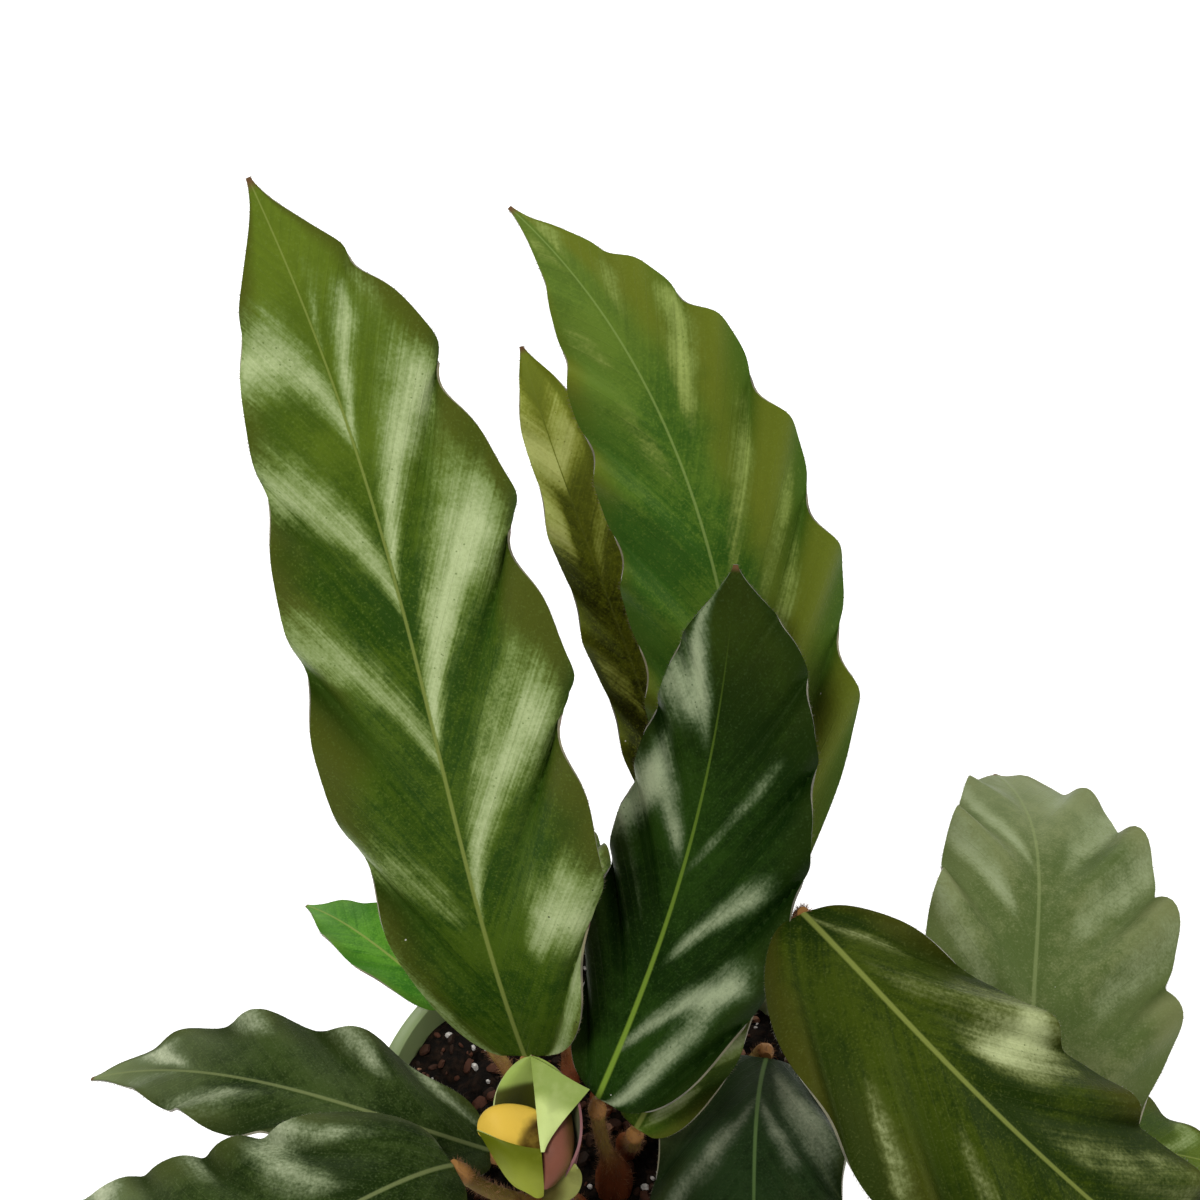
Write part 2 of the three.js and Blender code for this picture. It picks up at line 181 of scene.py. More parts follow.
def point_faces_outward(piece: bpy.types.Object) -> None:
    """Turns every face of a closed piece outwards.

    Args:
        piece: The piece.
    """
    take(piece)
    bpy.ops.object.mode_set(mode="EDIT")
    bpy.ops.mesh.select_all(action="SELECT")
    bpy.ops.mesh.normals_make_consistent(inside=False)
    bpy.ops.object.mode_set(mode="OBJECT")


def close_tube(piece: bpy.types.Object) -> None:
    """Joins a wrapped grid along its seam and fills its two ends.

    Args:
        piece: The grid, already wrapped into a tube.
    """
    take(piece)
    bpy.ops.object.mode_set(mode="EDIT")
    bpy.ops.mesh.select_all(action="SELECT")
    bpy.ops.mesh.remove_doubles(threshold=1e-6)
    bpy.ops.mesh.select_all(action="SELECT")
    bpy.ops.mesh.fill_holes(sides=0)
    bpy.ops.object.mode_set(mode="OBJECT")
    point_faces_outward(piece)


def shade(piece: bpy.types.Object, angle: float = 50.0) -> None:
    """Shades a piece smooth, with creases at edges sharper than the angle in degrees."""
    take(piece)
    bpy.ops.object.shade_smooth_by_angle(angle=math.radians(angle))


def dress(piece: bpy.types.Object, *materials: bpy.types.Material) -> None:
    """Gives a piece its materials, in order."""
    for material in materials:
        piece.data.materials.append(material)


def turned(name: str, profile: list[Pair], sides: int) -> bpy.types.Object:
    """Turns a closed solid from a profile, ring by ring.

    Args:
        name: The piece's name.
        profile: Radius and height of each ring in millimetres, ends closed by a face.
        sides: Points round each ring.

    Returns:
        The new piece.
    """
    clear_selection()
    radius, height = profile[0]
    bpy.ops.mesh.primitive_circle_add(
        vertices=sides, radius=radius * MM, fill_type="NGON", location=(0.0, 0.0, height * MM)
    )
    piece = bpy.context.object
    piece.name = name
    piece.data.name = name
    bpy.ops.object.transform_apply(location=True, rotation=True, scale=True)
    bpy.ops.object.mode_set(mode="EDIT")
    bpy.ops.mesh.select_all(action="SELECT")
    for next_radius, next_height in profile[1:]:
        bpy.ops.mesh.extrude_region_move(
            TRANSFORM_OT_translate={"value": (0.0, 0.0, (next_height - height) * MM)}
        )
        scale = next_radius / radius
        bpy.ops.transform.resize(
            value=(scale, scale, 1.0), center_override=(0.0, 0.0, next_height * MM)
        )
        radius, height = next_radius, next_height
    bpy.ops.object.mode_set(mode="OBJECT")
    point_faces_outward(piece)
    return piece


def scattered(name: str, template: bpy.types.Object, centres: Array, axes: Array) -> bpy.types.Object:
    """Joins many copies of one small shape in a single mesh, and removes the template.

    Args:
        name: The new piece's name.
        template: The shape, round its own origin.
        centres: Where each copy goes, one row each, in metres.
        axes: For each copy, three rows: where the template's X, Y and Z go, with their scale.

    Returns:
        The new piece.
    """
    shape = points_of(template)
    faces = np.array([tuple(face.vertices) for face in template.data.polygons])
    points = centres[:, None, :] + np.einsum("vk,nkc->nvc", shape, axes)
    steps = np.arange(len(centres))[:, None, None] * len(shape)
    corners = (faces[None, :, :] + steps).reshape(-1, faces.shape[1])
    mesh = bpy.data.meshes.new(name)
    mesh.from_pydata(points.reshape(-1, 3).tolist(), [], corners.tolist())
    piece = bpy.data.objects.new(name, mesh)
    bpy.context.scene.collection.objects.link(piece)
    bpy.data.objects.remove(template)
    return piece


def hair_template(name: str) -> bpy.types.Object:
    """One hair: a closed three-sided spike, 1 long along Z and 1 in radius at its foot.

    Args:
        name: The hair's name.

    Returns:
        The new piece.
    """
    clear_selection()
    bpy.ops.mesh.primitive_cone_add(
        vertices=3, radius1=1.0, radius2=0.0, depth=1.0, location=(0.0, 0.0, 0.5)
    )
    hair = bpy.context.object
    hair.name = name
    bpy.ops.object.transform_apply(location=True, rotation=True, scale=True)
    return hair


def hair_axes(directions: Array, lengths: Array, radius: float) -> Array:
    """The three axes of each hair, standing along its direction.

    Args:
        directions: One unit vector each.
        lengths: Length of each hair in metres.
        radius: Radius of the foot in metres.

    Returns:
        One 3 by 3 array each, for scattered().
    """
    steep = np.abs(directions[:, 2:3]) > 0.9
    helper = np.where(steep, (1.0, 0.0, 0.0), (0.0, 0.0, 1.0))
    across = unit(np.cross(helper, directions))
    over = np.cross(directions, across)
    return np.stack((across * radius, over * radius, directions * lengths[:, None]), axis=1)


# Materials


class NodeDesk:
    """One material's node tree, built with short calls."""

    def __init__(self, name: str) -> None:
        """Starts a material with its Principled shader.

        Args:
            name: The material's name.
        """
        self.material = bpy.data.materials.new(name)
        self.material.use_nodes = True
        self.tree = self.material.node_tree
        self.shader = self.tree.nodes["Principled BSDF"]
        self._coordinates: bpy.types.NodeSocket | None = None

    def wire(self, value: Value, socket: bpy.types.NodeSocket) -> None:
        """Links a socket, or sets a number or a colour on it.

        Args:
            value: What to link or set.
            socket: The input that takes it.
        """
        if isinstance(value, bpy.types.NodeSocket):
            self.tree.links.new(value, socket)
        elif isinstance(value, tuple):
            socket.default_value = (*value, 1.0)
        else:
            socket.default_value = value

    def place(self) -> bpy.types.NodeSocket:
        """Object coordinates, from one node that all patterns share.

        Returns:
            The coordinates.
        """
        if self._coordinates is None:
            self._coordinates = self.tree.nodes.new("ShaderNodeTexCoord").outputs["Object"]
        return self._coordinates

    def attribute(self, name: str) -> bpy.types.NodeSocket:
        """The number kept at each vertex under this name.

        Args:
            name: The attribute's name.

        Returns:
            The number.
        """
        node = self.tree.nodes.new("ShaderNodeAttribute")
        node.attribute_name = name
        return node.outputs["Fac"]

    def maths(self, operation: str, first: Value, second: Value = 0.0) -> bpy.types.NodeSocket:
        """One step of arithmetic.

        Args:
            operation: Blender's name for it.
            first: The first number.
            second: The second number, where it takes one.

        Returns:
            The result.
        """
        node = self.tree.nodes.new("ShaderNodeMath")
        node.operation = operation
        self.wire(first, node.inputs[0])
        self.wire(second, node.inputs[1])
        return node.outputs[0]

    def times(self, *values: Value) -> bpy.types.NodeSocket:
        """The product of several numbers.

        Args:
            values: Two or more numbers.

        Returns:
            Their product.
        """
        product = values[0]
        for value in values[1:]:
            product = self.maths("MULTIPLY", product, value)
        return product

    def step(self, value: Value, low: float, high: float) -> bpy.types.NodeSocket:
        """A soft step from 0 at low to 1 at high.

        Args:
            value: The number that is compared.
            low: Where the step is 0.
            high: Where it is 1. It may be the smaller of the two.

        Returns:
            The step's height.
        """
        node = self.tree.nodes.new("ShaderNodeMapRange")
        node.interpolation_type = "SMOOTHSTEP"
        flipped = low > high
        self.wire(value, node.inputs["Value"])
        self.wire(high if flipped else low, node.inputs["From Min"])
        self.wire(low if flipped else high, node.inputs["From Max"])
        self.wire(1.0 if flipped else 0.0, node.inputs["To Min"])
        self.wire(0.0 if flipped else 1.0, node.inputs["To Max"])
        return node.outputs["Result"]

    def mix(self, share: Value, first: Value, second: Value) -> bpy.types.NodeSocket:
        """Blends two colours.

        Args:
            share: How much of the second there is.
            first: The colour at a share of 0.
            second: The colour at a share of 1.

        Returns:
            The blend.
        """
        node = self.tree.nodes.new("ShaderNodeMix")
        node.data_type = "RGBA"
        self.wire(share, node.inputs[0])
        self.wire(first, node.inputs[6])
        self.wire(second, node.inputs[7])
        return node.outputs[2]

    def noise(
        self, scale: float, detail: float = 2.0, stretch: Point = (1.0, 1.0, 1.0)
    ) -> bpy.types.NodeSocket:
        """Cloudy noise from 0 to 1.

        Args:
            scale: Lumps to the metre.
            detail: Finer layers on top.
            stretch: Factors on the three coordinates.

        Returns:
            The noise's value.
        """
        mapping = self.tree.nodes.new("ShaderNodeMapping")
        mapping.inputs["Scale"].default_value = stretch
        self.wire(self.place(), mapping.inputs["Vector"])
        node = self.tree.nodes.new("ShaderNodeTexNoise")
        node.inputs["Scale"].default_value = scale
        node.inputs["Detail"].default_value = detail
        self.wire(mapping.outputs["Vector"], node.inputs["Vector"])
        return node.outputs["Fac"]

    def streaks(self, across: float, along: float, detail: float = 2.0) -> bpy.types.NodeSocket:
        """Noise drawn out along a leaf's side veins.

        Args:
            across: Lumps to the millimetre across the veins.
            along: Lumps to the millimetre along the veins.
            detail: Finer layers on top.

        Returns:
            The noise's value.
        """
        vector = self.tree.nodes.new("ShaderNodeCombineXYZ")
        self.wire(self.maths("MULTIPLY", self.attribute("vein"), across), vector.inputs["X"])
        self.wire(self.maths("MULTIPLY", self.attribute("from_rib"), along), vector.inputs["Y"])
        self.wire(self.attribute("half"), vector.inputs["Z"])
        node = self.tree.nodes.new("ShaderNodeTexNoise")
        node.inputs["Scale"].default_value = 1.0
        node.inputs["Detail"].default_value = detail
        self.wire(vector.outputs["Vector"], node.inputs["Vector"])
        return node.outputs["Fac"]

    def shaken(self, value: Value, clouds: Value, amount: float) -> bpy.types.NodeSocket:
        """A value moved up and down by a noise.

        Args:
            value: The value.
            clouds: A noise from 0 to 1.
            amount: The whole way from its lowest to its highest.

        Returns:
            The moved value.
        """
        return self.maths("ADD", value, self.times(self.maths("SUBTRACT", clouds, 0.5), amount))

    def specks(self, scale: float, size: float) -> tuple[bpy.types.NodeSocket, bpy.types.NodeSocket]:
        """Small round specks, at most one in each cell.

        Args:
            scale: Cells to the metre.
            size: A speck's radius as a share of its cell.

        Returns:
            1 on a speck and 0 elsewhere, and a random number from 0 to 1 for each cell.
        """
        node = self.tree.nodes.new("ShaderNodeTexVoronoi")
        node.inputs["Scale"].default_value = scale
        self.wire(self.place(), node.inputs["Vector"])
        dot = self.step(node.outputs["Distance"], size, size * 0.7)
        return dot, self.maths("FRACT", node.outputs["Color"])

    def bump(self, height: Value, depth: float, below: Value | None = None) -> bpy.types.NodeSocket:
        """Fine relief.

        Args:
            height: The relief's height from 0 to 1.
            depth: What a height of 1 stands for, in metres.
            below: Relief that this one is laid over.

        Returns:
            The normal to light the surface with.
        """
        node = self.tree.nodes.new("ShaderNodeBump")
        node.inputs["Distance"].default_value = depth
        self.wire(height, node.inputs["Height"])
        if below is not None:
            self.wire(below, node.inputs["Normal"])
        return node.outputs["Normal"]

    def finish(
        self, colour: Value, roughness: Value, normal: Value | None = None, **fixed: Value
    ) -> bpy.types.Material:
        """Connects the shader.

        Args:
            colour: Base colour.
            roughness: Roughness.
            normal: Relief, if there is any.
            fixed: Other inputs of the shader, with underscores for spaces.

        Returns:
            The finished material.
        """
        self.wire(colour, self.shader.inputs["Base Color"])
        self.wire(roughness, self.shader.inputs["Roughness"])
        if normal is not None:
            self.wire(normal, self.shader.inputs["Normal"])
        for key, value in fixed.items():
            self.wire(value, self.shader.inputs[key.replace("_", " ")])
        return self.material


@dataclass(frozen=True)
class LeafFinish:
    """Colours of one leaf from its deep green, also its painted shade, to its painted silvery sheen,
    and how its details show.

    Of each pair, edge_from is for the left and the right half, and rib_width, in millimetres, and
    rib_shows are for the foot and the tip.
    """

    deep: Colour = (0.013, 0.042, 0.002)
    lit: Colour = (0.048, 0.088, 0.005)
    edge: Colour = (0.054, 0.062, 0.006)
    tip: Colour = (0.130, 0.180, 0.014)
    # Painted sheen: a pale halo round a silvery core where the velvet catches the light
    painted_sheen_halo: Colour = (0.130, 0.190, 0.040)
    painted_sheen_silver: Colour = (0.420, 0.490, 0.250)
    rib: Colour = (0.190, 0.230, 0.050)
    under: Colour = (0.130, 0.030, 0.045)
    under_rib: Colour = (0.200, 0.110, 0.060)
    margin: Colour = (0.180, 0.160, 0.080)
    brown: Colour = (0.110, 0.055, 0.025)
    lint: Colour = (0.650, 0.650, 0.560)
    dirt: Colour = (0.012, 0.011, 0.006)
    gloss: Colour = (0.800, 0.950, 0.350)
    specular: float = 0.14
    fibrous: float = 1.0
    streaky: float = 0.55
    tip_share: float = 0.6
    edge_share: float = 0.85
    # How strongly the deep green paints shade into the wave hollows
    painted_hollow_shade_share: float = 0.8
    vein_share: float = 0.03
    under_vein_share: float = 0.35
    # How strong the painted glints on the grain are
    glint_share: float = 0.25
    pore_share: float = 0.55
    specks_per_metre: float = 520.0
    speck_size: float = 0.13
    lint_share: float = 0.06
    lint_shows: float = 0.8
    dirt_share: float = 0.07
    edge_from: Pair = (0.6, 0.6)
    rib_width: Pair = (0.85, 0.20)
    rib_shows: Pair = (0.85, 0.60)

    def _green(self, desk: NodeDesk, grain: bpy.types.NodeSocket) -> bpy.types.NodeSocket:
        """The green below the painted sheen: mottled, olive towards the margin, yellower towards the
        tip, with painted shade in the wave hollows.

        Args:
            desk: The material's node tree.
            grain: The finest noise.

        Returns:
            The colour.
        """
        outward = desk.attribute("outward")
        clouds = desk.noise(42.0, 4.0)
        fibres = desk.streaks(0.45, 0.04, 3.0)
        light = desk.shaken(desk.shaken(0.5, clouds, 2.0), fibres, self.fibrous)
        light = desk.shaken(desk.shaken(light, desk.noise(420.0, 3.0), 0.8), grain, 0.8)
        colour = desk.mix(desk.step(light, 0.1, 0.9), self.deep, self.lit)
        yellowed = desk.step(desk.shaken(desk.attribute("along"), clouds, 0.3), 0.55, 1.0)
        colour = desk.mix(desk.times(yellowed, self.tip_share), colour, self.tip)
        left, right = self.edge_from
        start = desk.maths(
            "ADD", (left + right) / 2, desk.times(desk.attribute("half"), (left - right) / 2)
        )
        past = desk.maths("SUBTRACT", desk.shaken(outward, clouds, 0.7), start)
        colour = desk.mix(desk.times(desk.step(past, 0.0, 0.4), self.edge_share), colour, self.edge)
        # Painted shade: the wave hollows darken towards the deep green
        painted_hollow_shade = desk.step(desk.attribute("shade"), 0.05, 0.9)
        return desk.mix(desk.times(painted_hollow_shade, self.painted_hollow_shade_share), colour, self.deep)

    def _painted_sheen(self, desk: NodeDesk) -> bpy.types.NodeSocket:
        """Where the velvet catches the light, painted as sheen in streaks and grains.

        Args:
            desk: The material's node tree.

        Returns:
            0 on bare green and 1 on the full painted sheen.
        """
        nap = desk.attribute("nap")
        rough = desk.shaken(nap, desk.streaks(0.22, 0.015), self.streaky)
        rough = desk.shaken(rough, desk.streaks(0.8, 0.05), self.streaky)
        rough = desk.shaken(rough, desk.noise(170.0, 3.0), 0.6)
        rough = desk.shaken(rough, desk.noise(1400.0, 2.0), 0.5)
        return desk.times(rough, desk.step(nap, 0.0, 0.25))

    def upper(self, name: str) -> bpy.types.Material:
        """The velvety upper face: painted bands of silvery sheen with painted glints, a pale midrib
        and fine side veins.

        Args:
            name: The material's name.

        Returns:
            The material.
        """
        desk = NodeDesk(name)
        along = desk.attribute("along")
        outward = desk.attribute("outward")
        grain = desk.noise(1900.0, 2.0)
        nap = self._painted_sheen(desk)
        colour = self._green(desk, grain)
        # Painted sheen: the halo and then the silvery core, where the velvet catches the light
        colour = desk.mix(desk.step(nap, 0.0, 0.60), colour, self.painted_sheen_halo)
        colour = desk.mix(desk.step(nap, 0.25, 1.25), colour, self.painted_sheen_silver)
        dot, lot = desk.specks(self.specks_per_metre, self.speck_size)
        pores = desk.times(dot, desk.step(nap, 0.3, 0.7), self.pore_share)
        colour = desk.mix(pores, colour, self.lit)
        # Painted glints: small highlights on the grain
        glints = desk.times(desk.step(grain, 0.55, 0.75), self.glint_share)
        colour = desk.mix(glints, colour, self.painted_sheen_halo)
        from_vein = desk.maths("PINGPONG", desk.attribute("vein"), VEIN_SPACING / 2)
        side_vein = desk.step(from_vein, 0.3, 0.0)
        side_vein = desk.times(side_vein, desk.step(outward, 0.0, 0.2), desk.step(outward, 1.0, 0.7))
        colour = desk.mix(desk.times(side_vein, self.vein_share), colour, self.rib)
        slimmer = self.rib_width[0] - self.rib_width[1]
        rib_width = desk.maths("SUBTRACT", self.rib_width[0], desk.times(along, slimmer))
        on_rib = desk.step(desk.maths("DIVIDE", desk.attribute("from_rib"), rib_width), 1.0, 0.35)
        fading = self.rib_shows[0] - self.rib_shows[1]
        shows = desk.maths("SUBTRACT", self.rib_shows[0], desk.times(along, fading))
        colour = desk.mix(desk.times(on_rib, shows), colour, self.rib)
        colour = desk.mix(desk.step(along, 0.985, 0.998), colour, self.brown)
        lint = desk.times(dot, desk.maths("LESS_THAN", lot, self.lint_share), self.lint_shows)
        dirt = desk.times(dot, desk.maths("GREATER_THAN", lot, 1.0 - self.dirt_share))
        colour = desk.mix(dirt, desk.mix(lint, colour, self.lint), self.dirt)
        relief = desk.bump(side_vein, 0.00005, desk.bump(grain, 0.00010))
        return desk.finish(
            colour, 0.5, relief, Specular_IOR_Level=self.specular, Specular_Tint=self.gloss
        )

    def lower(self, name: str) -> bpy.types.Material:
        """The wine purple under face with its paler midrib.

        Args:
            name: The material's name.

        Returns:
            The material.
        """
        desk = NodeDesk(name)
        from_rib = desk.attribute("from_rib")
        clouds = desk.noise(60.0, 4.0)
        grain = desk.noise(1500.0, 2.0)
        colour = desk.mix(desk.step(clouds, 0.3, 0.7), dimmed(self.under, 0.5), self.under)
        from_vein = desk.maths("PINGPONG", desk.attribute("vein"), VEIN_SPACING / 2)
        side_vein = desk.step(from_vein, 0.5, 0.0)
        colour = desk.mix(desk.times(side_vein, self.under_vein_share), colour, self.under_rib)
        colour = desk.mix(desk.step(from_rib, 2.2, 0.8), colour, self.under_rib)
        relief = desk.bump(side_vein, 0.00025, desk.bump(grain, 0.00008))
        return desk.finish(
            colour, 0.5, relief, Sheen_Weight=0.35, Sheen_Roughness=0.5, Sheen_Tint=(0.9, 0.6, 0.65)
        )

    def rim(self, name: str) -> bpy.types.Material:
        """The thin pale margin.

        Args:
            name: The material's name.

        Returns:
            The material.
        """
        desk = NodeDesk(name)
        clouds = desk.step(desk.noise(130.0, 3.0), 0.35, 0.6)
        colour = desk.mix(clouds, dimmed(self.margin, 0.45), self.margin)
        return desk.finish(colour, 0.6, Sheen_Weight=0.3)


class LeafTone(Enum):
    """The named leaf finishes."""

    VELVET = LeafFinish()
    OLIVE = LeafFinish(
        deep=(0.022, 0.070, 0.006), lit=(0.066, 0.130, 0.012), edge=(0.105, 0.125, 0.010),
        tip=(0.115, 0.165, 0.022), painted_sheen_halo=(0.140, 0.190, 0.035), painted_sheen_silver=(0.320, 0.390, 0.110),
        rib=(0.170, 0.240, 0.060), edge_from=(0.75, 0.15), rib_width=(0.75, 0.20),
    )
    BRONZE = LeafFinish(
        deep=(0.016, 0.020, 0.001), lit=(0.085, 0.105, 0.004), edge=(0.100, 0.125, 0.006),
        tip=(0.150, 0.190, 0.020), painted_sheen_halo=(0.220, 0.260, 0.030), painted_sheen_silver=(0.520, 0.580, 0.180),
        tip_share=0.9, rib_width=(0.60, 0.20), rib_shows=(0.20, 0.10),
    )
    SHADED = LeafFinish(
        deep=(0.008, 0.019, 0.001), lit=(0.032, 0.049, 0.002), edge=(0.036, 0.037, 0.003),
        tip=(0.054, 0.100, 0.004), painted_sheen_halo=(0.095, 0.115, 0.030), painted_sheen_silver=(0.400, 0.440, 0.220),
        rib=(0.180, 0.210, 0.045), margin=(0.150, 0.140, 0.080), specular=0.08, streaky=0.4,
        rib_width=(1.00, 0.35), rib_shows=(0.80, 0.60),
    )
    DEEP = LeafFinish(
        deep=(0.003, 0.014, 0.001), lit=(0.012, 0.036, 0.003), tip=(0.024, 0.032, 0.003),
        edge=(0.010, 0.022, 0.002), painted_sheen_halo=(0.045, 0.075, 0.026), painted_sheen_silver=(0.290, 0.340, 0.200),
        rib=(0.170, 0.270, 0.030), margin=(0.130, 0.120, 0.065), specular=0.08, fibrous=0.4,
        streaky=0.3, rib_width=(1.00, 0.05), rib_shows=(1.00, -0.10),
    )
    DARK = LeafFinish(
        deep=(0.003, 0.009, 0.002), lit=(0.010, 0.024, 0.006), tip=(0.020, 0.030, 0.008),
        edge=(0.012, 0.018, 0.004), painted_sheen_halo=(0.036, 0.050, 0.026), painted_sheen_silver=(0.180, 0.200, 0.130),
        rib=(0.090, 0.150, 0.045), margin=(0.130, 0.120, 0.065), specular=0.08, fibrous=0.4,
        streaky=0.2, rib_width=(0.80, 0.20), rib_shows=(0.80, 0.20),
    )
    DULL = LeafFinish(
        deep=(0.005, 0.014, 0.001), lit=(0.030, 0.050, 0.010), tip=(0.230, 0.280, 0.120),
        edge=(0.038, 0.050, 0.010), painted_sheen_halo=(0.100, 0.130, 0.058), painted_sheen_silver=(0.460, 0.500, 0.330),
        rib=(0.180, 0.210, 0.080), margin=(0.160, 0.150, 0.085), specular=0.10, fibrous=0.5,
        streaky=0.2, rib_width=(0.80, 0.30), rib_shows=(0.65, 0.40),
    )
    PALE = LeafFinish(
        deep=(0.055, 0.082, 0.020), lit=(0.125, 0.148, 0.055), tip=(0.210, 0.240, 0.120),
        edge=(0.130, 0.145, 0.055), painted_sheen_halo=(0.170, 0.205, 0.095), painted_sheen_silver=(0.270, 0.310, 0.180),
        rib=(0.190, 0.230, 0.090), fibrous=0.3, streaky=0.1, rib_width=(0.90, 0.40),
        rib_shows=(0.50, 0.40),
    )
    FRESH = LeafFinish(
        deep=(0.022, 0.110, 0.006), lit=(0.070, 0.210, 0.014), tip=(0.120, 0.260, 0.055),
        edge=(0.060, 0.150, 0.012), painted_sheen_halo=(0.120, 0.280, 0.040), rib_width=(0.60, 0.25),
    )


@dataclass(frozen=True)
class YoungFinish:
    """The rolled young leaf: yellow-green, with mauve on its outer face."""

    inside: Colour = (0.310, 0.410, 0.085)
    outside: Colour = (0.200, 0.270, 0.045)
    # Painted shade deep down in the roll
    painted_hollow_shade: Colour = (0.050, 0.055, 0.001)
    mauve: Colour = (0.200, 0.075, 0.075)
    margin: Colour = (0.480, 0.500, 0.240)

    def inner(self, name: str) -> bpy.types.Material:
        """The pale inner face, with painted shade deep down in the roll.

        Args:
            name: The material's name.

        Returns:
            The material.
        """
        desk = NodeDesk(name)
        clouds = desk.noise(90.0, 3.0)
        grain = desk.noise(1900.0, 2.0)
        colour = desk.mix(desk.step(clouds, 0.3, 0.7), self.inside, self.outside)
        # Painted shade deep down in the roll
        painted_roll_shade = desk.step(desk.shaken(desk.attribute("depth"), clouds, 0.5), 0.1, 0.9)
        colour = desk.mix(painted_roll_shade, colour, self.painted_hollow_shade)
        return desk.finish(
            colour, 0.5, desk.bump(grain, 0.00006), Specular_IOR_Level=0.2, Sheen_Weight=0.1
        )

    def outer(self, name: str) -> bpy.types.Material:
        """The bright outer face, mauve towards one edge.

        Args:
            name: The material's name.

        Returns:
            The material.
        """
        desk = NodeDesk(name)
        clouds = desk.noise(110.0, 3.0)
        grain = desk.noise(1700.0, 2.0)
        colour = desk.mix(desk.step(clouds, 0.3, 0.7), self.outside, self.inside)
        colour = desk.mix(desk.attribute("mauve"), colour, self.mauve)
        return desk.finish(
            colour, 0.5, desk.bump(grain, 0.00006), Specular_IOR_Level=0.2, Sheen_Weight=0.1
        )

    def rim(self, name: str) -> bpy.types.Material:
        """The pale edge.

        Args:
            name: The material's name.

        Returns:
            The material.
        """
        desk = NodeDesk(name)
        colour = desk.mix(desk.noise(160.0, 2.0), self.margin, self.inside)
        colour = desk.mix(desk.attribute("mauve"), colour, self.mauve)
        return desk.finish(colour, 0.55)


@dataclass(frozen=True)
class WrapFinish:
    """One turn of the young leaf, shading from one colour to another across it."""

    colour: Colour
    fade: Colour
    fade_from: float = 0.3
    fade_to: float = 0.9

    def face(self, name: str) -> bpy.types.Material:
        """Its soft, slightly mottled face.

        Args:
            name: The material's name.

        Returns:
            The material.
        """
        desk = NodeDesk(name)
        clouds = desk.noise(170.0, 4.0)
        grain = desk.noise(1900.0, 2.0)
        share = desk.shaken(desk.attribute("fade"), clouds, 0.25)
        colour = desk.mix(desk.step(share, self.fade_from, self.fade_to), self.colour, self.fade)
        patches = desk.times(desk.step(clouds, 0.5, 0.75), 0.5)
        colour = desk.mix(patches, colour, dimmed(self.colour, 0.7))
        return desk.finish(colour, 0.5, desk.bump(grain, 0.00006), Specular_IOR_Level=0.1)


class WrapTone(Enum):
    """The named colours of the young leaf's turns."""

    FLAP = WrapFinish((0.540, 0.640, 0.230), (0.230, 0.310, 0.065), 0.52, 0.78)
    # Amber: the tongue's yellow tint brightened by painted light shining through it, fading to painted
    # shadow at its right end behind the flap
    TONGUE = WrapFinish((0.680, 0.450, 0.060), (0.055, 0.028, 0.002), 0.60, 0.76)
    LOBE = WrapFinish((0.330, 0.370, 0.040), (0.100, 0.120, 0.003), 0.0, 0.9)
    BACK = WrapFinish((0.190, 0.068, 0.042), (0.110, 0.060, 0.018), 0.45, 0.9)
    FOOT = WrapFinish((0.060, 0.048, 0.004), (0.230, 0.240, 0.060), 0.25, 0.75)


@dataclass(frozen=True)
class PetioleFinish:
    """A hairy stalk: red-brown at the sheath, green-brown above, orange at its joint."""

    sheath: Colour = (0.220, 0.060, 0.018)
    stem: Colour = (0.190, 0.130, 0.030)
    joint: Colour = (0.300, 0.145, 0.042)
    hair: Colour = (0.340, 0.170, 0.070)

    def skin(self, name: str) -> bpy.types.Material:
        """The stalk's streaky skin.

        Args:
            name: The material's name.

        Returns:
            The material.
        """
        desk = NodeDesk(name)
        along = desk.attribute("along")
        streaks = desk.noise(260.0, 3.0, (1.0, 1.0, 0.2))
        colour = desk.mix(desk.step(along, 0.15, 0.6), self.sheath, self.stem)
        dark = desk.times(desk.step(streaks, 0.45, 0.7), 0.6)
        colour = desk.mix(dark, colour, dimmed(self.sheath, 0.4))
        colour = desk.mix(desk.step(along, 0.84, 0.91), colour, self.joint)
        return desk.finish(colour, 0.55, desk.bump(streaks, 0.0003), Specular_IOR_Level=0.15)

    def hairs(self, name: str) -> bpy.types.Material:
        """The short hairs.

        Args:
            name: The material's name.

        Returns:
            The material.
        """
        desk = NodeDesk(name)
        pale = desk.step(desk.noise(300.0, 1.0), 0.35, 0.65)
        colour = desk.mix(pale, dimmed(self.hair, 0.35), self.hair)
        return desk.finish(colour, 0.6)


@dataclass(frozen=True)
class PotFinish:
    """Pale grey-green moulded plastic."""

    colour: Colour = (0.165, 0.225, 0.085)
    dusty: Colour = (0.195, 0.250, 0.110)

    def plastic(self, name: str) -> bpy.types.Material:
        """Satin plastic with faint dust and scuffs.

        Args:
            name: The material's name.

        Returns:
            The material.
        """
        desk = NodeDesk(name)
        dust = desk.noise(55.0, 5.0)
        scuffs = desk.noise(700.0, 2.0, (1.0, 1.0, 0.25))
        colour = desk.mix(desk.step(dust, 0.45, 0.75), self.colour, self.dusty)
        roughness = desk.maths("ADD", 0.38, desk.times(dust, 0.2))
        return desk.finish(colour, roughness, desk.bump(scuffs, 0.00004))


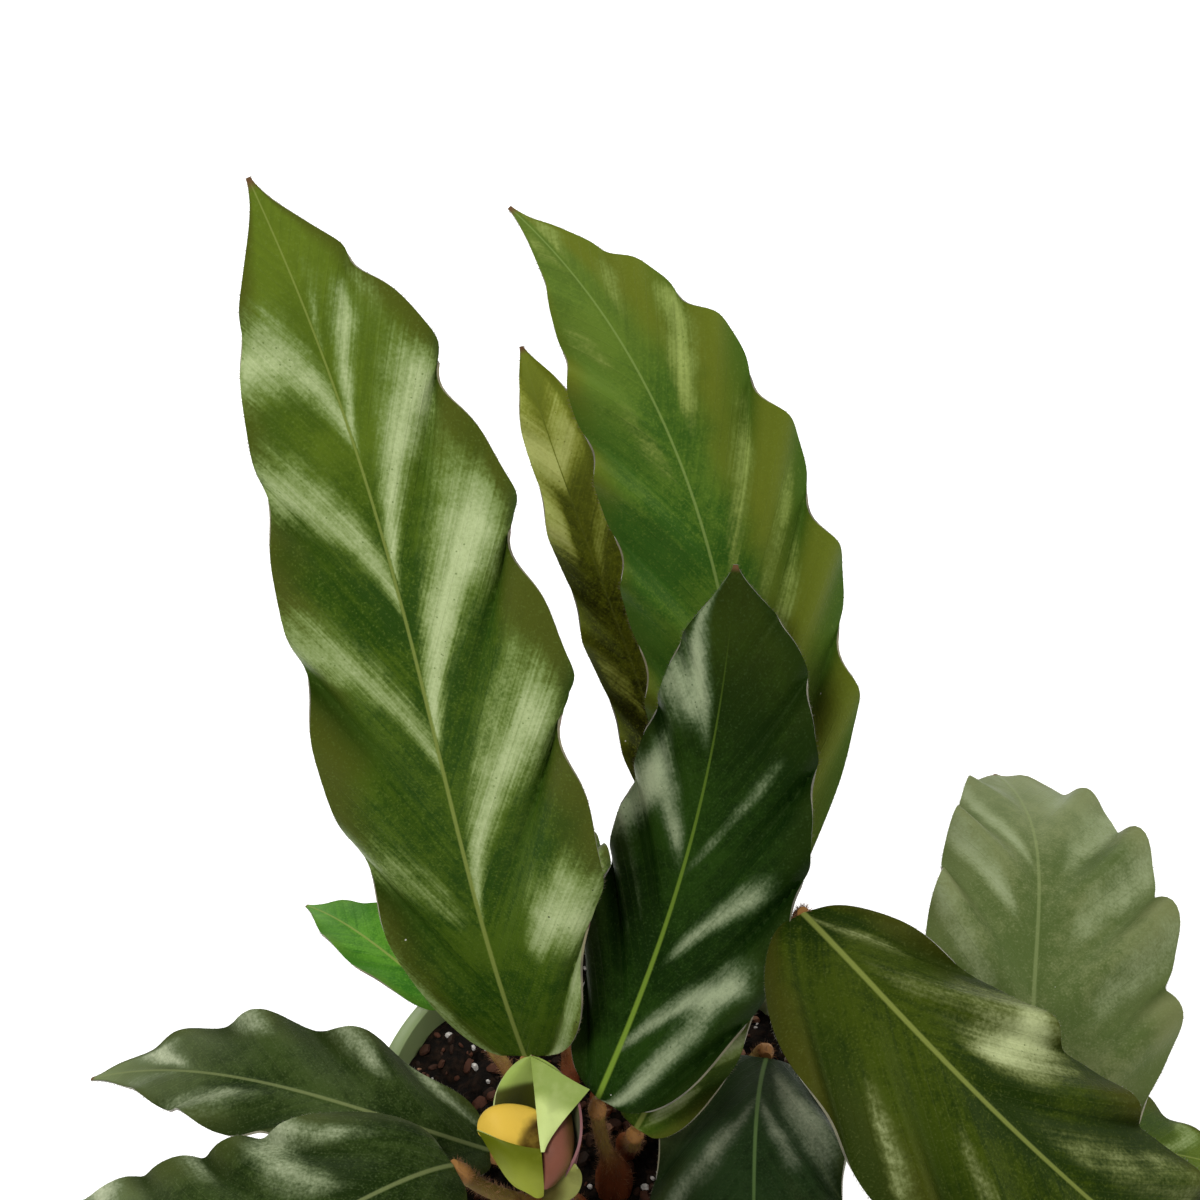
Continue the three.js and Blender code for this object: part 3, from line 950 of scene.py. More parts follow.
@dataclass(frozen=True)
class MixFinish:
    """Near-black peat with bark and pale grains."""

    peat: Colour = (0.004, 0.003, 0.002)
    crumb: Colour = (0.016, 0.009, 0.005)
    bark: Colour = (0.060, 0.022, 0.011)
    bark_pale: Colour = (0.300, 0.160, 0.090)
    grain: Colour = (0.620, 0.600, 0.540)

    def soil(self, name: str) -> bpy.types.Material:
        """The dark mix between the crumbs.

        Args:
            name: The material's name.

        Returns:
            The material.
        """
        desk = NodeDesk(name)
        crumbs = desk.noise(420.0, 6.0)
        colour = desk.mix(desk.step(crumbs, 0.42, 0.7), self.peat, self.crumb)
        return desk.finish(colour, 0.9, desk.bump(crumbs, 0.0015), Specular_IOR_Level=0.08)

    def chips(self, name: str) -> bpy.types.Material:
        """Bark, each chip in its own tone.

        Args:
            name: The material's name.

        Returns:
            The material.
        """
        desk = NodeDesk(name)
        tone = desk.attribute("tone")
        fibres = desk.noise(900.0, 4.0, (1.0, 0.3, 1.0))
        colour = desk.mix(desk.step(tone, 0.1, 0.8), self.crumb, self.bark)
        colour = desk.mix(desk.step(tone, 0.9, 0.98), colour, self.bark_pale)
        dark = desk.times(desk.step(fibres, 0.5, 0.75), 0.6)
        colour = desk.mix(dark, colour, dimmed(self.bark, 0.4))
        return desk.finish(colour, 0.75, desk.bump(fibres, 0.0004), Specular_IOR_Level=0.15)

    def grains(self, name: str) -> bpy.types.Material:
        """Pale mineral grains.

        Args:
            name: The material's name.

        Returns:
            The material.
        """
        desk = NodeDesk(name)
        pores = desk.noise(1400.0, 4.0)
        colour = desk.mix(desk.step(pores, 0.35, 0.65), dimmed(self.grain, 0.6), self.grain)
        return desk.finish(colour, 0.85, desk.bump(pores, 0.0003))


# Curves that leaves and stalks follow


class Arc:
    """A cubic curve that is read by its length, in millimetres."""

    SAMPLES = 1200

    def __init__(self, controls: list[Point]) -> None:
        """Measures the curve once.

        Args:
            controls: Its four control points.
        """
        self._controls = np.array(controls, dtype=float)
        self._steps = np.linspace(0.0, 1.0, self.SAMPLES + 1)
        points = self._at(self._steps)
        lengths = np.linalg.norm(np.diff(points, axis=0), axis=1)
        self._travelled = np.concatenate(([0.0], np.cumsum(lengths)))
        self.length = float(self._travelled[-1])

    @classmethod
    def through(cls, points: tuple[Point, ...]) -> "Arc":
        """The curve through four points spaced evenly along it.

        Args:
            points: The four points.

        Returns:
            The curve.
        """
        first, second, third, last = (np.array(p, dtype=float) for p in points)
        leave = -5 / 6 * first + 3 * second - 1.5 * third + last / 3
        arrive = -5 / 6 * last + 3 * third - 1.5 * second + first / 3
        return cls([first, leave, arrive, last])

    def _at(self, t: Array) -> Array:
        """Points at the curve's own parameter.

        Args:
            t: Parameters from 0 to 1.

        Returns:
            One point each.
        """
        u = 1.0 - t
        weights = np.stack((u**3, 3 * u * u * t, 3 * u * t * t, t**3), axis=-1)
        return weights @ self._controls

    def _parameter(self, s: Array) -> Array:
        """The curve's own parameter at a share of its length."""
        return np.interp(s * self.length, self._travelled, self._steps)

    def point(self, s: Array) -> Array:
        """Points at shares of the length."""
        return self._at(self._parameter(s))

    def tangent(self, s: Array) -> Array:
        """Directions at shares of the length.

        Args:
            s: Shares from 0 to 1.

        Returns:
            One unit vector each.
        """
        t = self._parameter(s)
        u = 1.0 - t
        weights = np.stack(
            (-3 * u * u, 3 * u * u - 6 * u * t, 6 * u * t - 3 * t * t, 3 * t * t), axis=-1
        )
        return unit(weights @ self._controls)


# Pot and potting mix


@dataclass
class Pot:
    """The tapered pot with its thicker band at the rim."""

    height: float = 112.0
    rim_radius: float = 60.0
    base_radius: float = 43.0
    wall: float = 2.4
    floor: float = 4.0
    lip_height: float = 13.0
    lip_step: float = 1.6
    lip_draft: float = 0.6
    edge_round: float = 1.1
    sides: int = 120
    drain_count: int = 5
    drain_radius: float = 4.0
    drain_circle: float = 26.0
    drain_sides: int = 32
    finish: PotFinish = PotFinish()

    @property
    def inner_top(self) -> float:
        """Radius of the opening."""
        return self.rim_radius - self.lip_step - self.wall

    def _profile(self) -> list[Pair]:
        """Rings from the edge of the underside, over the rim, to the edge of the floor.

        Returns:
            Radius and height of each ring.
        """
        body_top = self.height - self.lip_height - self.lip_step
        flare = self.rim_radius - self.lip_step - self.base_radius
        body = self.base_radius + flare * body_top / self.height
        half_round = 0.3 * self.edge_round
        return [
            (self.base_radius - self.edge_round, 0.0),
            (self.base_radius - half_round, half_round),
            (self.base_radius, self.edge_round),
            (body, body_top),
            (self.rim_radius - self.lip_draft, self.height - self.lip_height),
            (self.rim_radius, self.height - self.edge_round),
            (self.rim_radius - half_round, self.height - half_round),
            (self.rim_radius - self.edge_round, self.height),
            (self.inner_top + self.edge_round, self.height),
            (self.inner_top + half_round, self.height - half_round),
            (self.inner_top, self.height - self.edge_round),
            (self.base_radius - self.wall, self.floor),
        ]

    def _drill(self, pot: bpy.types.Object) -> None:
        """Cuts the drain holes through the floor.

        Args:
            pot: The turned pot.
        """
        circle = self.drain_circle * MM
        for index in range(self.drain_count):
            angle = 2 * math.pi * index / self.drain_count
            clear_selection()
            bpy.ops.mesh.primitive_cylinder_add(
                vertices=self.drain_sides, radius=self.drain_radius * MM, depth=4 * self.floor * MM,
                location=(circle * math.cos(angle), circle * math.sin(angle), 0.0),
            )
            cutter = bpy.context.object
            apply_modifier(pot, "BOOLEAN", operation="DIFFERENCE", solver="EXACT", object=cutter)
            bpy.data.objects.remove(cutter)

    def build(self) -> None:
        """Makes the pot in place of its CAD solid."""
        pot = turned("pot_shell", self._profile(), self.sides)
        self._drill(pot)
        shade(pot, 35.0)
        dress(pot, self.finish.plastic("pot_plastic"))
        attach(pot, BODY)
        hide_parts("pot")
        log.info("pot: %d faces", len(pot.data.polygons))


@dataclass
class PottingMix:
    """The mix, with bark crumbs and pale grains lying on it.

    Each pair for the loose bits is the smallest and the largest value that a bit may take.
    """

    pot: Pot
    below_rim: float = 6.0
    gap: float = 0.3
    wall_gap: float = 0.45
    mound: float = 2.4
    lump: float = 1.1
    cross_lump: float = 0.6
    ripple: Pair = (0.31, 0.27)
    ripple_start: Pair = (1.7, 0.4)
    cross_ripple: Pair = (0.53, 0.47)
    rings: int = 60
    sides: int = 160
    roughness: float = 1.3
    crumbs_per_mm: float = 0.45
    smooth_edge: float = 4.0
    chips: int = 620
    chip_size: Pair = (0.7, 2.6)
    chip_flatness: float = 0.45
    grains: int = 60
    grain_size: Pair = (0.6, 1.4)
    grain_flatness: float = 0.8
    bit_width: Pair = (0.35, 0.8)
    bit_depth: Pair = (0.7, 1.3)
    bit_tilt: float = 0.35
    bit_margin: float = 2.5
    bit_dents: float = 0.55
    bit_cut: float = 0.78
    finish: MixFinish = MixFinish()

    @property
    def top(self) -> float:
        """The mix's mean height."""
        return self.pot.height - self.below_rim

    def height_at(self, x: Array, y: Array) -> Array:
        """The mix's height, higher in the middle and gently lumpy.

        Args:
            x: Places from left to right in millimetres.
            y: Places from front to back in millimetres.

        Returns:
            The height at each place in millimetres.
        """
        out = np.minimum(1.0, np.hypot(x, y) / self.pot.inner_top)
        lumps = np.sin(self.ripple[0] * x + self.ripple_start[0])
        lumps = lumps * np.cos(self.ripple[1] * y + self.ripple_start[1])
        crossing = np.sin(self.cross_ripple[0] * x - self.cross_ripple[1] * y)
        lumps = lumps + self.cross_lump * crossing
        return self.top + self.mound * (0.5 - out**2) + self.lump * lumps

    def _body(self) -> None:
        """The solid body of mix, rough on top."""
        bottom = self.pot.floor + self.gap
        outer = self.pot.inner_top - self.wall_gap
        lower = self.pot.base_radius - self.pot.wall - self.wall_gap
        profile = [(lower, bottom), (outer, self.top)]
        profile += [(outer * (1.0 - i / self.rings), self.top) for i in range(1, self.rings)]
        mix = turned("potting_mix_body", profile, self.sides)
        points = points_of(mix) / MM
        upper = points[:, 2] > self.top / 2
        x, y = points[upper, 0], points[upper, 1]
        crumbs = np.array([
            noise.fractal(Vector((a * self.crumbs_per_mm, b * self.crumbs_per_mm, 3.0)), 0.6, 2.2, 4)
            for a, b in zip(x, y)
        ])
        inside = smooth(np.hypot(x, y), outer, outer - self.smooth_edge)
        points[upper, 2] = self.height_at(x, y) + self.roughness * crumbs * inside
        move_points(mix, points * MM)
        shade(mix, 60.0)
        dress(mix, self.finish.soil("mix_peat"))
        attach(mix, BODY)
        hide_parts("potting_mix")

    def _loose(
        self, name: str, count: int, sizes: Pair, flatness: float, seed: int
    ) -> bpy.types.Object:
        """Angular bits strewn over the mix.

        Args:
            name: The piece's name.
            count: How many bits.
            sizes: Smallest and largest half length in millimetres.
            flatness: Thickness as a share of the length.
            seed: Seeds their places.

        Returns:
            The new piece, with a random tone kept for each bit.
        """
        random = np.random.RandomState(seed)
        clear_selection()
        bpy.ops.mesh.primitive_ico_sphere_add(subdivisions=2, radius=1.0)
        bit = bpy.context.object
        shape = points_of(bit)
        dents = np.array([noise.noise(Vector(p) * 1.6 + Vector((seed, 0.0, 0.0))) for p in shape])
        dented = shape * (1.0 + self.bit_dents * dents[:, None])
        move_points(bit, np.clip(dented, -self.bit_cut, self.bit_cut))
        size = lerp(sizes, random.rand(count) ** 2.5)
        turn = random.rand(count) * 2 * math.pi
        tilt = random.randn(count, 2) * self.bit_tilt
        out = np.sqrt(random.rand(count)) * (self.pot.inner_top - self.bit_margin)
        side = random.rand(count) * 2 * math.pi
        x, y = out * np.cos(side), out * np.sin(side)
        z = self.height_at(x, y) + size * flatness * 0.5
        centres = np.stack((x, y, z), axis=1) * MM
        long_way = unit(np.stack((np.cos(turn), np.sin(turn), tilt[:, 0]), axis=1))
        up = unit(np.stack((tilt[:, 1], -tilt[:, 0], np.ones(count)), axis=1))
        up = unit(up - long_way * np.sum(up * long_way, axis=1, keepdims=True))
        across = np.cross(up, long_way)
        width = lerp(self.bit_width, random.rand(count))[:, None]
        depth = flatness * lerp(self.bit_depth, random.rand(count))[:, None]
        scale = (size * MM)[:, None]
        axes = np.stack((long_way * scale, across * scale * width, up * scale * depth), axis=1)
        piece = scattered(name, bit, centres, axes)
        write_attribute(piece, "tone", np.repeat(random.rand(count), len(shape)))
        return piece

    def build(self) -> None:
        """Makes the mix and what lies on it."""
        self._body()
        chips = self._loose("bark_chips", self.chips, self.chip_size, self.chip_flatness, SEED)
        dress(chips, self.finish.chips("bark"))
        grains = self._loose(
            "pale_grains", self.grains, self.grain_size, self.grain_flatness, SEED + 1
        )
        dress(grains, self.finish.grains("mineral_grain"))
        for piece in (chips, grains):
            shade(piece, 35.0)
            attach(piece, BODY)
        log.info("potting mix: %d chips, %d grains", self.chips, self.grains)


# Leaves


@dataclass
class Petiole:
    """A hairy stalk from the mix to the foot of a blade.

    It leaves the mix upright at root, bends towards pull and meets the blade along blade_way.
    Sheath, stem, joint and end are its radii from the mix up. Sheath_end, joint_start and
    joint_full are shares of its length, which run down to minus buried for its buried end.
    """

    name: str
    root: Pair
    sheath: float
    pull: Point
    blade_foot: Point
    blade_way: Array
    soil_top: float = 106.0
    stem: float = 1.7
    joint: float = 2.2
    end: float = 1.2
    sheath_end: float = 0.45
    joint_start: float = 0.8
    joint_full: float = 0.92
    depth: float = 14.0
    crown: float = 3.5
    buried: float = 0.1
    rise: float = 18.0
    rise_share: float = 0.35
    joint_gap: float = 0.3
    ridges: int = 5
    ridge_height: float = 0.05
    ridge_twist: float = 9.0
    rings: int = 56
    sides: int = 18
    hair_length: Pair = (0.7, 1.7)
    hair_radius: float = 0.055
    hair_lean: float = 0.45
    hair_spread: float = 0.28
    hair_root: float = 0.97
    hairs_per_mm: float = 26.0
    finish: PetioleFinish = PetioleFinish()

    def __post_init__(self) -> None:
        """Lays the stalk's line."""
        foot = np.array((*self.root, self.soil_top + self.crown))
        end = np.array(self.blade_foot) - self.blade_way * self.joint_gap
        straight = min(self.rise_share * float(np.linalg.norm(end - foot)), self.rise)
        self.arc = Arc([foot, foot + (0.0, 0.0, straight), np.array(self.pull), end])

    def _radius(self, s: Array) -> Array:
        """The stalk's radius.

        Args:
            s: Shares of its length.

        Returns:
            The radius at each in millimetres.
        """
        sheath = lerp((self.sheath, self.stem), smooth(s, 0.0, self.sheath_end))
        swell = lerp((0.0, self.joint - self.stem), smooth(s, self.joint_start, self.joint_full))
        narrowed = np.clip((s - self.joint_full) / (1.0 - self.joint_full), 0.0, 1.0)
        return sheath + swell - narrowed * (self.joint - self.end)

    def _frames(self, s: Array) -> tuple[Array, Array, Array, Array]:
        """The tube's cross sections, turned as little as the line's bends allow.

        Args:
            s: Shares of the stalk's length. Below 0 is the straight buried end.

        Returns:
            Centre, left, up and radius of each.
        """
        inside = np.clip(s, 0.0, 1.0)
        along = self.arc.tangent(inside)
        along[inside >= 1.0] = self.blade_way
        centre = self.arc.point(inside)
        centre[:, 2] += np.minimum(s, 0.0) * (self.depth + self.crown) / self.buried
        left = np.zeros_like(along)
        last = np.array((1.0, 0.0, 0.0))
        for index in np.argsort(s, kind="stable"):
            last = unit(last - along[index] * float(last @ along[index]))
            left[index] = last
        return centre, left, np.cross(along, left), self._radius(inside)

    def _skin(self) -> bpy.types.Object:
        """The tube, with shallow ridges below its joint.

        Returns:
            The new piece.
        """
        tube = new_sheet(f"stalk_{self.name}", self.rings, self.sides)
        grid = points_of(tube)
        s = (grid[:, 0] + 1.0) / 2.0 * (1.0 + self.buried) - self.buried
        steps, index = np.unique(np.round(s, 6), return_inverse=True)
        centre, left, up, radius = self._frames(steps)
        angle = -math.pi * grid[:, 1]
        ridge = self.ridge_height * np.sin(self.ridges * angle + self.ridge_twist * s)
        reach = (radius[index] * (1.0 + ridge * (s < self.joint_start)))[:, None]
        outward = left[index] * np.cos(angle)[:, None] + up[index] * np.sin(angle)[:, None]
        move_points(tube, (centre[index] + reach * outward) * MM)
        write_attribute(tube, "along", np.clip(s, 0.0, 1.0))
        close_tube(tube)
        shade(tube, 60.0)
        return tube

    def _hairs(self) -> bpy.types.Object:
        """Short hairs all round the part above the mix, leaning up it.

        Returns:
            The new piece.
        """
        random = np.random.RandomState(SEED + len(self.name) + int(abs(self.root[0]) * 7))
        count = int(self.hairs_per_mm * self.arc.length)
        s = np.sort(random.rand(count))
        centre, left, up, radius = self._frames(s)
        angle = random.rand(count) * 2 * math.pi
        outward = left * np.cos(angle)[:, None] + up * np.sin(angle)[:, None]
        lean = self.arc.tangent(s) * self.hair_lean + random.randn(count, 3) * self.hair_spread
        lengths = lerp(self.hair_length, random.rand(count)) * MM
        centres = (centre + outward * (radius * self.hair_root)[:, None]) * MM
        axes = hair_axes(unit(outward + lean), lengths, self.hair_radius * MM)
        return scattered(f"stalk_hairs_{self.name}", hair_template("hair"), centres, axes)

    def build(self) -> None:
        """Makes the stalk and its hairs in place of the CAD solid."""
        skin = self._skin()
        dress(skin, self.finish.skin(f"stalk_skin_{self.name}"))
        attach(skin, BODY)
        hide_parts(f"petiole_{self.name}")
        hairs = self._hairs()
        dress(hairs, self.finish.hairs(f"stalk_hair_{self.name}"))
        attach(hairs, BODY)
        log.info("stalk %s: %d faces", self.name, len(skin.data.polygons))


class Half(Enum):
    """The two halves of a blade, as the sign of its column."""

    LEFT = 1.0
    RIGHT = -1.0


@dataclass(frozen=True)
class Sheen:
    """A band of painted sheen where the velvet catches the light, following the side veins.

    Its middle line leaves the midrib at foot, a share of the midrib's length, and spread is about
    its half width there. It shows from near to far, which are shares of the half's width. Slant
    bends its outer end towards the base, and spring its inner end, where it meets the midrib.
    End_fade is how far before and past far it dies away, widening its width at the midrib and the
    gain towards the edge, and side_widths its width towards the tip and towards the base, all as
    factors or shares.
    """

    half: Half
    foot: float
    spread: float
    near: float
    far: float
    strength: float = 1.0
    slant: float = 0.0
    spring: float = 0.05
    spring_reach: float = 0.15
    start_fade: float = 0.15
    end_fade: Pair = (0.20, 0.12)
    widening: Pair = (0.8, 0.6)
    side_widths: Pair = (1.3, 0.75)
    edge_power: float = 1.7

    def at(self, foot: Array, column: Array) -> Array:
        """How bright the band is at points of the blade.

        Args:
            foot: Where the side vein leaves the midrib, as a share of its length.
            column: -1 at the right edge to 1 at the left edge.

        Returns:
            Its brightness, 0 outside the band.
        """
        signed = column * self.half.value
        outward = np.maximum(signed, 0.0)
        middle = self.foot - self.spring * np.exp(-outward / self.spring_reach)
        middle = middle - self.slant * outward**2
        begins = smooth(signed, self.near - self.start_fade, self.near + self.start_fade)
        begins = np.where(signed > 0, begins, 0.0)
        ends = smooth(signed, self.far + self.end_fade[1], self.far - self.end_fade[0])
        off = (foot - middle) / (self.spread * (self.widening[0] + self.widening[1] * outward))
        off = np.where(off > 0, off / self.side_widths[0], -off / self.side_widths[1])
        return self.strength * begins * ends * np.exp(-(off**self.edge_power))


@dataclass
class LeafBlade:
    """A waved lance-shaped blade.

    The midrib is four points from foot to tip, and heading is the way that it points, in degrees
    from +X. Of each pair, half_width, waves, start and scallop are for the left and the right
    half, and roll is at the foot and the tip. Start is the wave's phase at the foot in turns.
    Pairs for the ridge and groove of the midrib are a height and a half width.
    """

    name: str
    midrib: tuple[Point, ...]
    heading: float
    half_width: Pair
    waves: Pair
    wave_height: float
    start: Pair
    scallop: Pair
    skew: float = 0.0
    vein_angle: float = 32.0
    roll: Pair = (0.0, 0.0)
    cup: float = 0.1
    curl: float = 0.05
    sheens: tuple[Sheen, ...] = ()
    crest_sheen: float = 0.5
    tone: LeafTone = LeafTone.VELVET
    stalk_radius: float = 1.1
    tip_radius: float = 0.5
    belly_skew: float = 0.8
    tip_start: float = 0.72
    base_end: float = 0.35
    taper: float = 0.0
    wave_growth: float = 1.3
    thickness: float = 0.5
    rib_depth: float = 1.3
    rib_taper: float = 0.7
    rib_share: float = 1 / 3
    ridge: Pair = (0.22, 0.7)
    groove: Pair = (0.25, 2.2)
    pleat_height: float = 0.04
    row_size: float = 0.95
    row_crowding: float = 0.25
    columns: int = 56
    column_crowding: float = 0.4
    hair_length: Pair = (0.35, 0.95)
    hair_radius: float = 0.04
    hair_lean: float = 0.5
    hair_spread: float = 0.3
    hairs_per_mm: float = 2.6

    def __post_init__(self) -> None:
        """Lays the midrib, and bands of painted sheen on the waves' crests where none are given."""
        self.arc = Arc.through(self.midrib)
        if not self.sheens:
            self.sheens = self._crest_sheens()

    def _crest_sheens(self) -> tuple[Sheen, ...]:
        """One band of painted sheen on the crest of each wave, a quarter turn into it.

        Returns:
            The bands of both halves.
        """
        bands = []
        for half, waves, start in zip(Half, self.waves, self.start):
            for wave in range(math.ceil(waves) + 1):
                foot = (wave + 0.25 - start) / waves
                if -0.05 < foot < 0.95:
                    bands.append(
                        Sheen(half, foot, 0.17 / waves, 0.0, 0.95, self.crest_sheen, 0.08)
                    )
        return tuple(bands)

    def _outline(self, s: Array) -> Array:
        """How wide the blade is along its midrib.

        Args:
            s: Shares of the midrib's length.

        Returns:
            Shares of its greatest width.
        """
        belly = np.sqrt(np.maximum(0.0, np.sin(math.pi * s**self.belly_skew)))
        drawn_out = np.maximum(0.0, (s - self.tip_start) / (1.0 - self.tip_start))
        drawn_in = np.maximum(0.0, 1.0 - s / self.base_end)
        return belly * (1.0 - drawn_out**2) * (1.0 - self.taper * drawn_in**2)

    def _frames(self, s: Array) -> tuple[Array, Array, Array]:
        """The blade's own axes along its midrib.

        Args:
            s: Shares of the midrib's length.

        Returns:
            Direction, left side and upper normal at each.
        """
        along = self.arc.tangent(s)
        heading = math.radians(self.heading)
        level = np.array((-math.sin(heading), math.cos(heading), 0.0))
        left = unit(level - along * (along @ level)[:, None])
        turn = np.radians(lerp(self.roll, s))[:, None]
        left = left * np.cos(turn) + np.cross(along, left) * np.sin(turn)
        return along, left, np.cross(along, left)

    def surface(self, row: Array, column: Array) -> dict[str, Array]:
        """Points on the upper face and what the materials need there.

        Args:
            row: 0 at the foot to 1 at the tip.
            column: -1 at the right edge to 1 at the left edge.

        Returns:
            The points, directions and values, by name.
        """
        s = row - self.row_crowding * np.sin(2 * math.pi * row) / (2 * math.pi)
        along, left, up = self._frames(s)
        outward = np.abs(column)
        on_left = column > 0
        share = self._outline(s)
        stalk = lerp((self.stalk_radius, self.tip_radius), s)
        width = np.where(on_left, self.half_width[0], self.half_width[1]) * share
        angle = math.radians(self.vein_angle)
        foot = s - outward * width / (self.arc.length * math.tan(angle))
        start = np.where(on_left, self.start[0], self.start[1])
        waves = np.where(on_left, self.waves[0], self.waves[1])
        phase = 2 * math.pi * (waves * foot + start)
        phase = phase + self.skew * (np.cos(phase) - 1.0)
        scallop = np.where(on_left, self.scallop[0], self.scallop[1])
        reach = width * (1 + scallop * outward * np.cos(phase)) + stalk * (1 - share)
        lift = self.cup * outward * width - self.curl * outward**2 * width
        lift = lift + self.wave_height * outward**self.wave_growth * share * np.sin(phase)
        vein = foot * self.arc.length
        pleat = np.cos(2 * math.pi * vein / VEIN_SPACING) * smooth(outward, 0.02, 0.2) * share
        lift = lift + self.pleat_height * pleat
        from_rib = outward * reach
        lift = lift + self.ridge[0] * np.exp(-((from_rib / self.ridge[1]) ** 2))
        lift = lift - self.groove[0] * np.exp(-((from_rib / self.groove[1]) ** 2))
        # Brightness of the painted sheen bands
        nap = sum((sheen.at(foot, column) for sheen in self.sheens), np.zeros_like(s))
        # Painted shade in the wave hollows
        shade = share * outward * (0.5 - 0.5 * np.sin(phase))
        rib = self.rib_depth * (1 - self.rib_taper * s) * np.maximum(0.0, 1 - outward / self.rib_share)
        point = self.arc.point(s) + left * (column * reach)[:, None] + up * lift[:, None]
        return {
            "point": point, "way": along, "left": left, "up": up, "along": s, "outward": outward,
            "from_rib": from_rib, "vein": vein, "half": np.sign(column), "nap": nap,
            "shade": shade, "rib": rib,
        }

    def _blade(self) -> bpy.types.Object:
        """The blade without its fringe, with its midrib standing out below.

        Returns:
            The new piece.
        """
        rows = int(self.arc.length / self.row_size)
        blade = new_sheet(f"leaf_{self.name}", rows, self.columns)
        grid = points_of(blade)
        crowded = 1.0 - self.column_crowding + self.column_crowding * np.abs(grid[:, 1])
        column = grid[:, 1] * crowded
        face = self.surface((grid[:, 0] + 1.0) / 2.0, column)
        move_points(blade, face["point"] * MM)
        for name in ("along", "outward", "from_rib", "vein", "half", "nap", "shade"):
            write_attribute(blade, name, face[name])
        finish = self.tone.value
        dress(
            blade, finish.upper(f"leaf_upper_{self.name}"), finish.lower(f"leaf_lower_{self.name}"),
            finish.rim(f"leaf_rim_{self.name}"),
        )
        thicken(blade, self.thickness, rim_material=2)
        points = points_of(blade)
        points[len(grid):] -= face["up"] * (face["rib"] * MM)[:, None]
        move_points(blade, points)
        shade(blade, 60.0)
        return blade

    def _fringe(self) -> bpy.types.Object:
        """Fine pale hairs along both edges.

        Returns:
            The new piece.
        """
        random = np.random.RandomState(SEED + len(self.name))
        count = int(self.hairs_per_mm * self.arc.length * 2)
        row = random.rand(count)
        column = np.where(random.rand(count) < 0.5, 1.0, -1.0)
        face = self.surface(row, column)
        lean = face["way"] * self.hair_lean + random.randn(count, 3) * self.hair_spread
        directions = unit(face["left"] * column[:, None] + lean)
        lengths = lerp(self.hair_length, random.rand(count)) * MM
        centres = (face["point"] - face["up"] * (self.thickness / 2)) * MM
        axes = hair_axes(directions, lengths, self.hair_radius * MM)
        return scattered(f"leaf_fringe_{self.name}", hair_template("hair"), centres, axes)

    def build(self) -> None:
        """Makes the blade and its fringe in place of the CAD solid."""
        blade = self._blade()
        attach(blade, BODY)
        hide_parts(f"blade_{self.name}")
        fringe = self._fringe()
        dress(fringe, self.tone.value.rim(f"leaf_fringe_{self.name}"))
        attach(fringe, BODY)
        log.info("leaf %s: %d faces", self.name, len(blade.data.polygons))


class Fade(Enum):
    """Which way a turn's colour fades."""

    UPWARD = "upward"
    RIGHTWARD = "rightward"
    SLANTED = "to the right and down"

    def along(self, across: Array, down: Array) -> Array:
        """How far the fade has come at points of a sheet.

        Args:
            across: Shares of the way from left to right.
            down: Shares of the way from top to bottom.

        Returns:
            0 where it starts and up to 1 where it ends.
        """
        if self is Fade.UPWARD:
            return 1.0 - down
        if self is Fade.RIGHTWARD:
            return across
        return across * (0.5 + 0.5 * down)


@dataclass(frozen=True)
class Wrap:
    """One turn at the young leaf's mouth: a thin sheet through sixteen points.

    The points stand in four rows from the top down, each from left to right. A point is its way
    to the right, up and out of the mouth, in millimetres.
    """

    name: str
    rows: tuple[tuple[Point, ...], ...]
    tone: WrapTone
    fade: Fade = Fade.RIGHTWARD
    pale_edge: bool = False
    mouth: Point = (-18.0, -31.0, 145.0)
    right: Point = (1.0, 0.0, 0.0)
    up: Point = (0.0, 0.8, 0.6)
    out: Point = (0.0, -0.6, 0.8)
    thickness: float = 0.4
    steps: int = 40

    @staticmethod
    def _weights(t: Array) -> Array:
        """How much each of four even points counts at a share of the way past them.

        Args:
            t: Shares of the way from the first to the last.

        Returns:
            Four weights for each share.
        """
        third, two_thirds, last = t - 1 / 3, t - 2 / 3, t - 1
        return np.stack(
            (
                -4.5 * third * two_thirds * last, 13.5 * t * two_thirds * last,
                -13.5 * t * third * last, 4.5 * t * third * two_thirds,
            ),
            axis=-1,
        )

    def build(self) -> None:
        """Makes the turn."""
        sheet = new_sheet(f"young_{self.name}", self.steps, self.steps)
        grid = (points_of(sheet) + 1.0) / 2.0
        down, across = 1.0 - grid[:, 1], grid[:, 0]
        net = np.array(self.rows) @ np.array((self.right, self.up, self.out))
        points = np.einsum("na,nb,abk->nk", self._weights(down), self._weights(across), net)
        move_points(sheet, (points + self.mouth) * MM)
        write_attribute(sheet, "fade", self.fade.along(across, down))
        dress(
            sheet, self.tone.value.face(f"young_{self.name}_face"),
            YoungFinish().outer(f"young_{self.name}_back"),
            YoungFinish().rim(f"young_{self.name}_rim"),
        )
        thicken(sheet, self.thickness, rim_material=2 if self.pale_edge else 0)
        shade(sheet, 60.0)
        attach(sheet, BODY)
        log.info("young leaf's %s: %d faces", self.name, len(sheet.data.polygons))


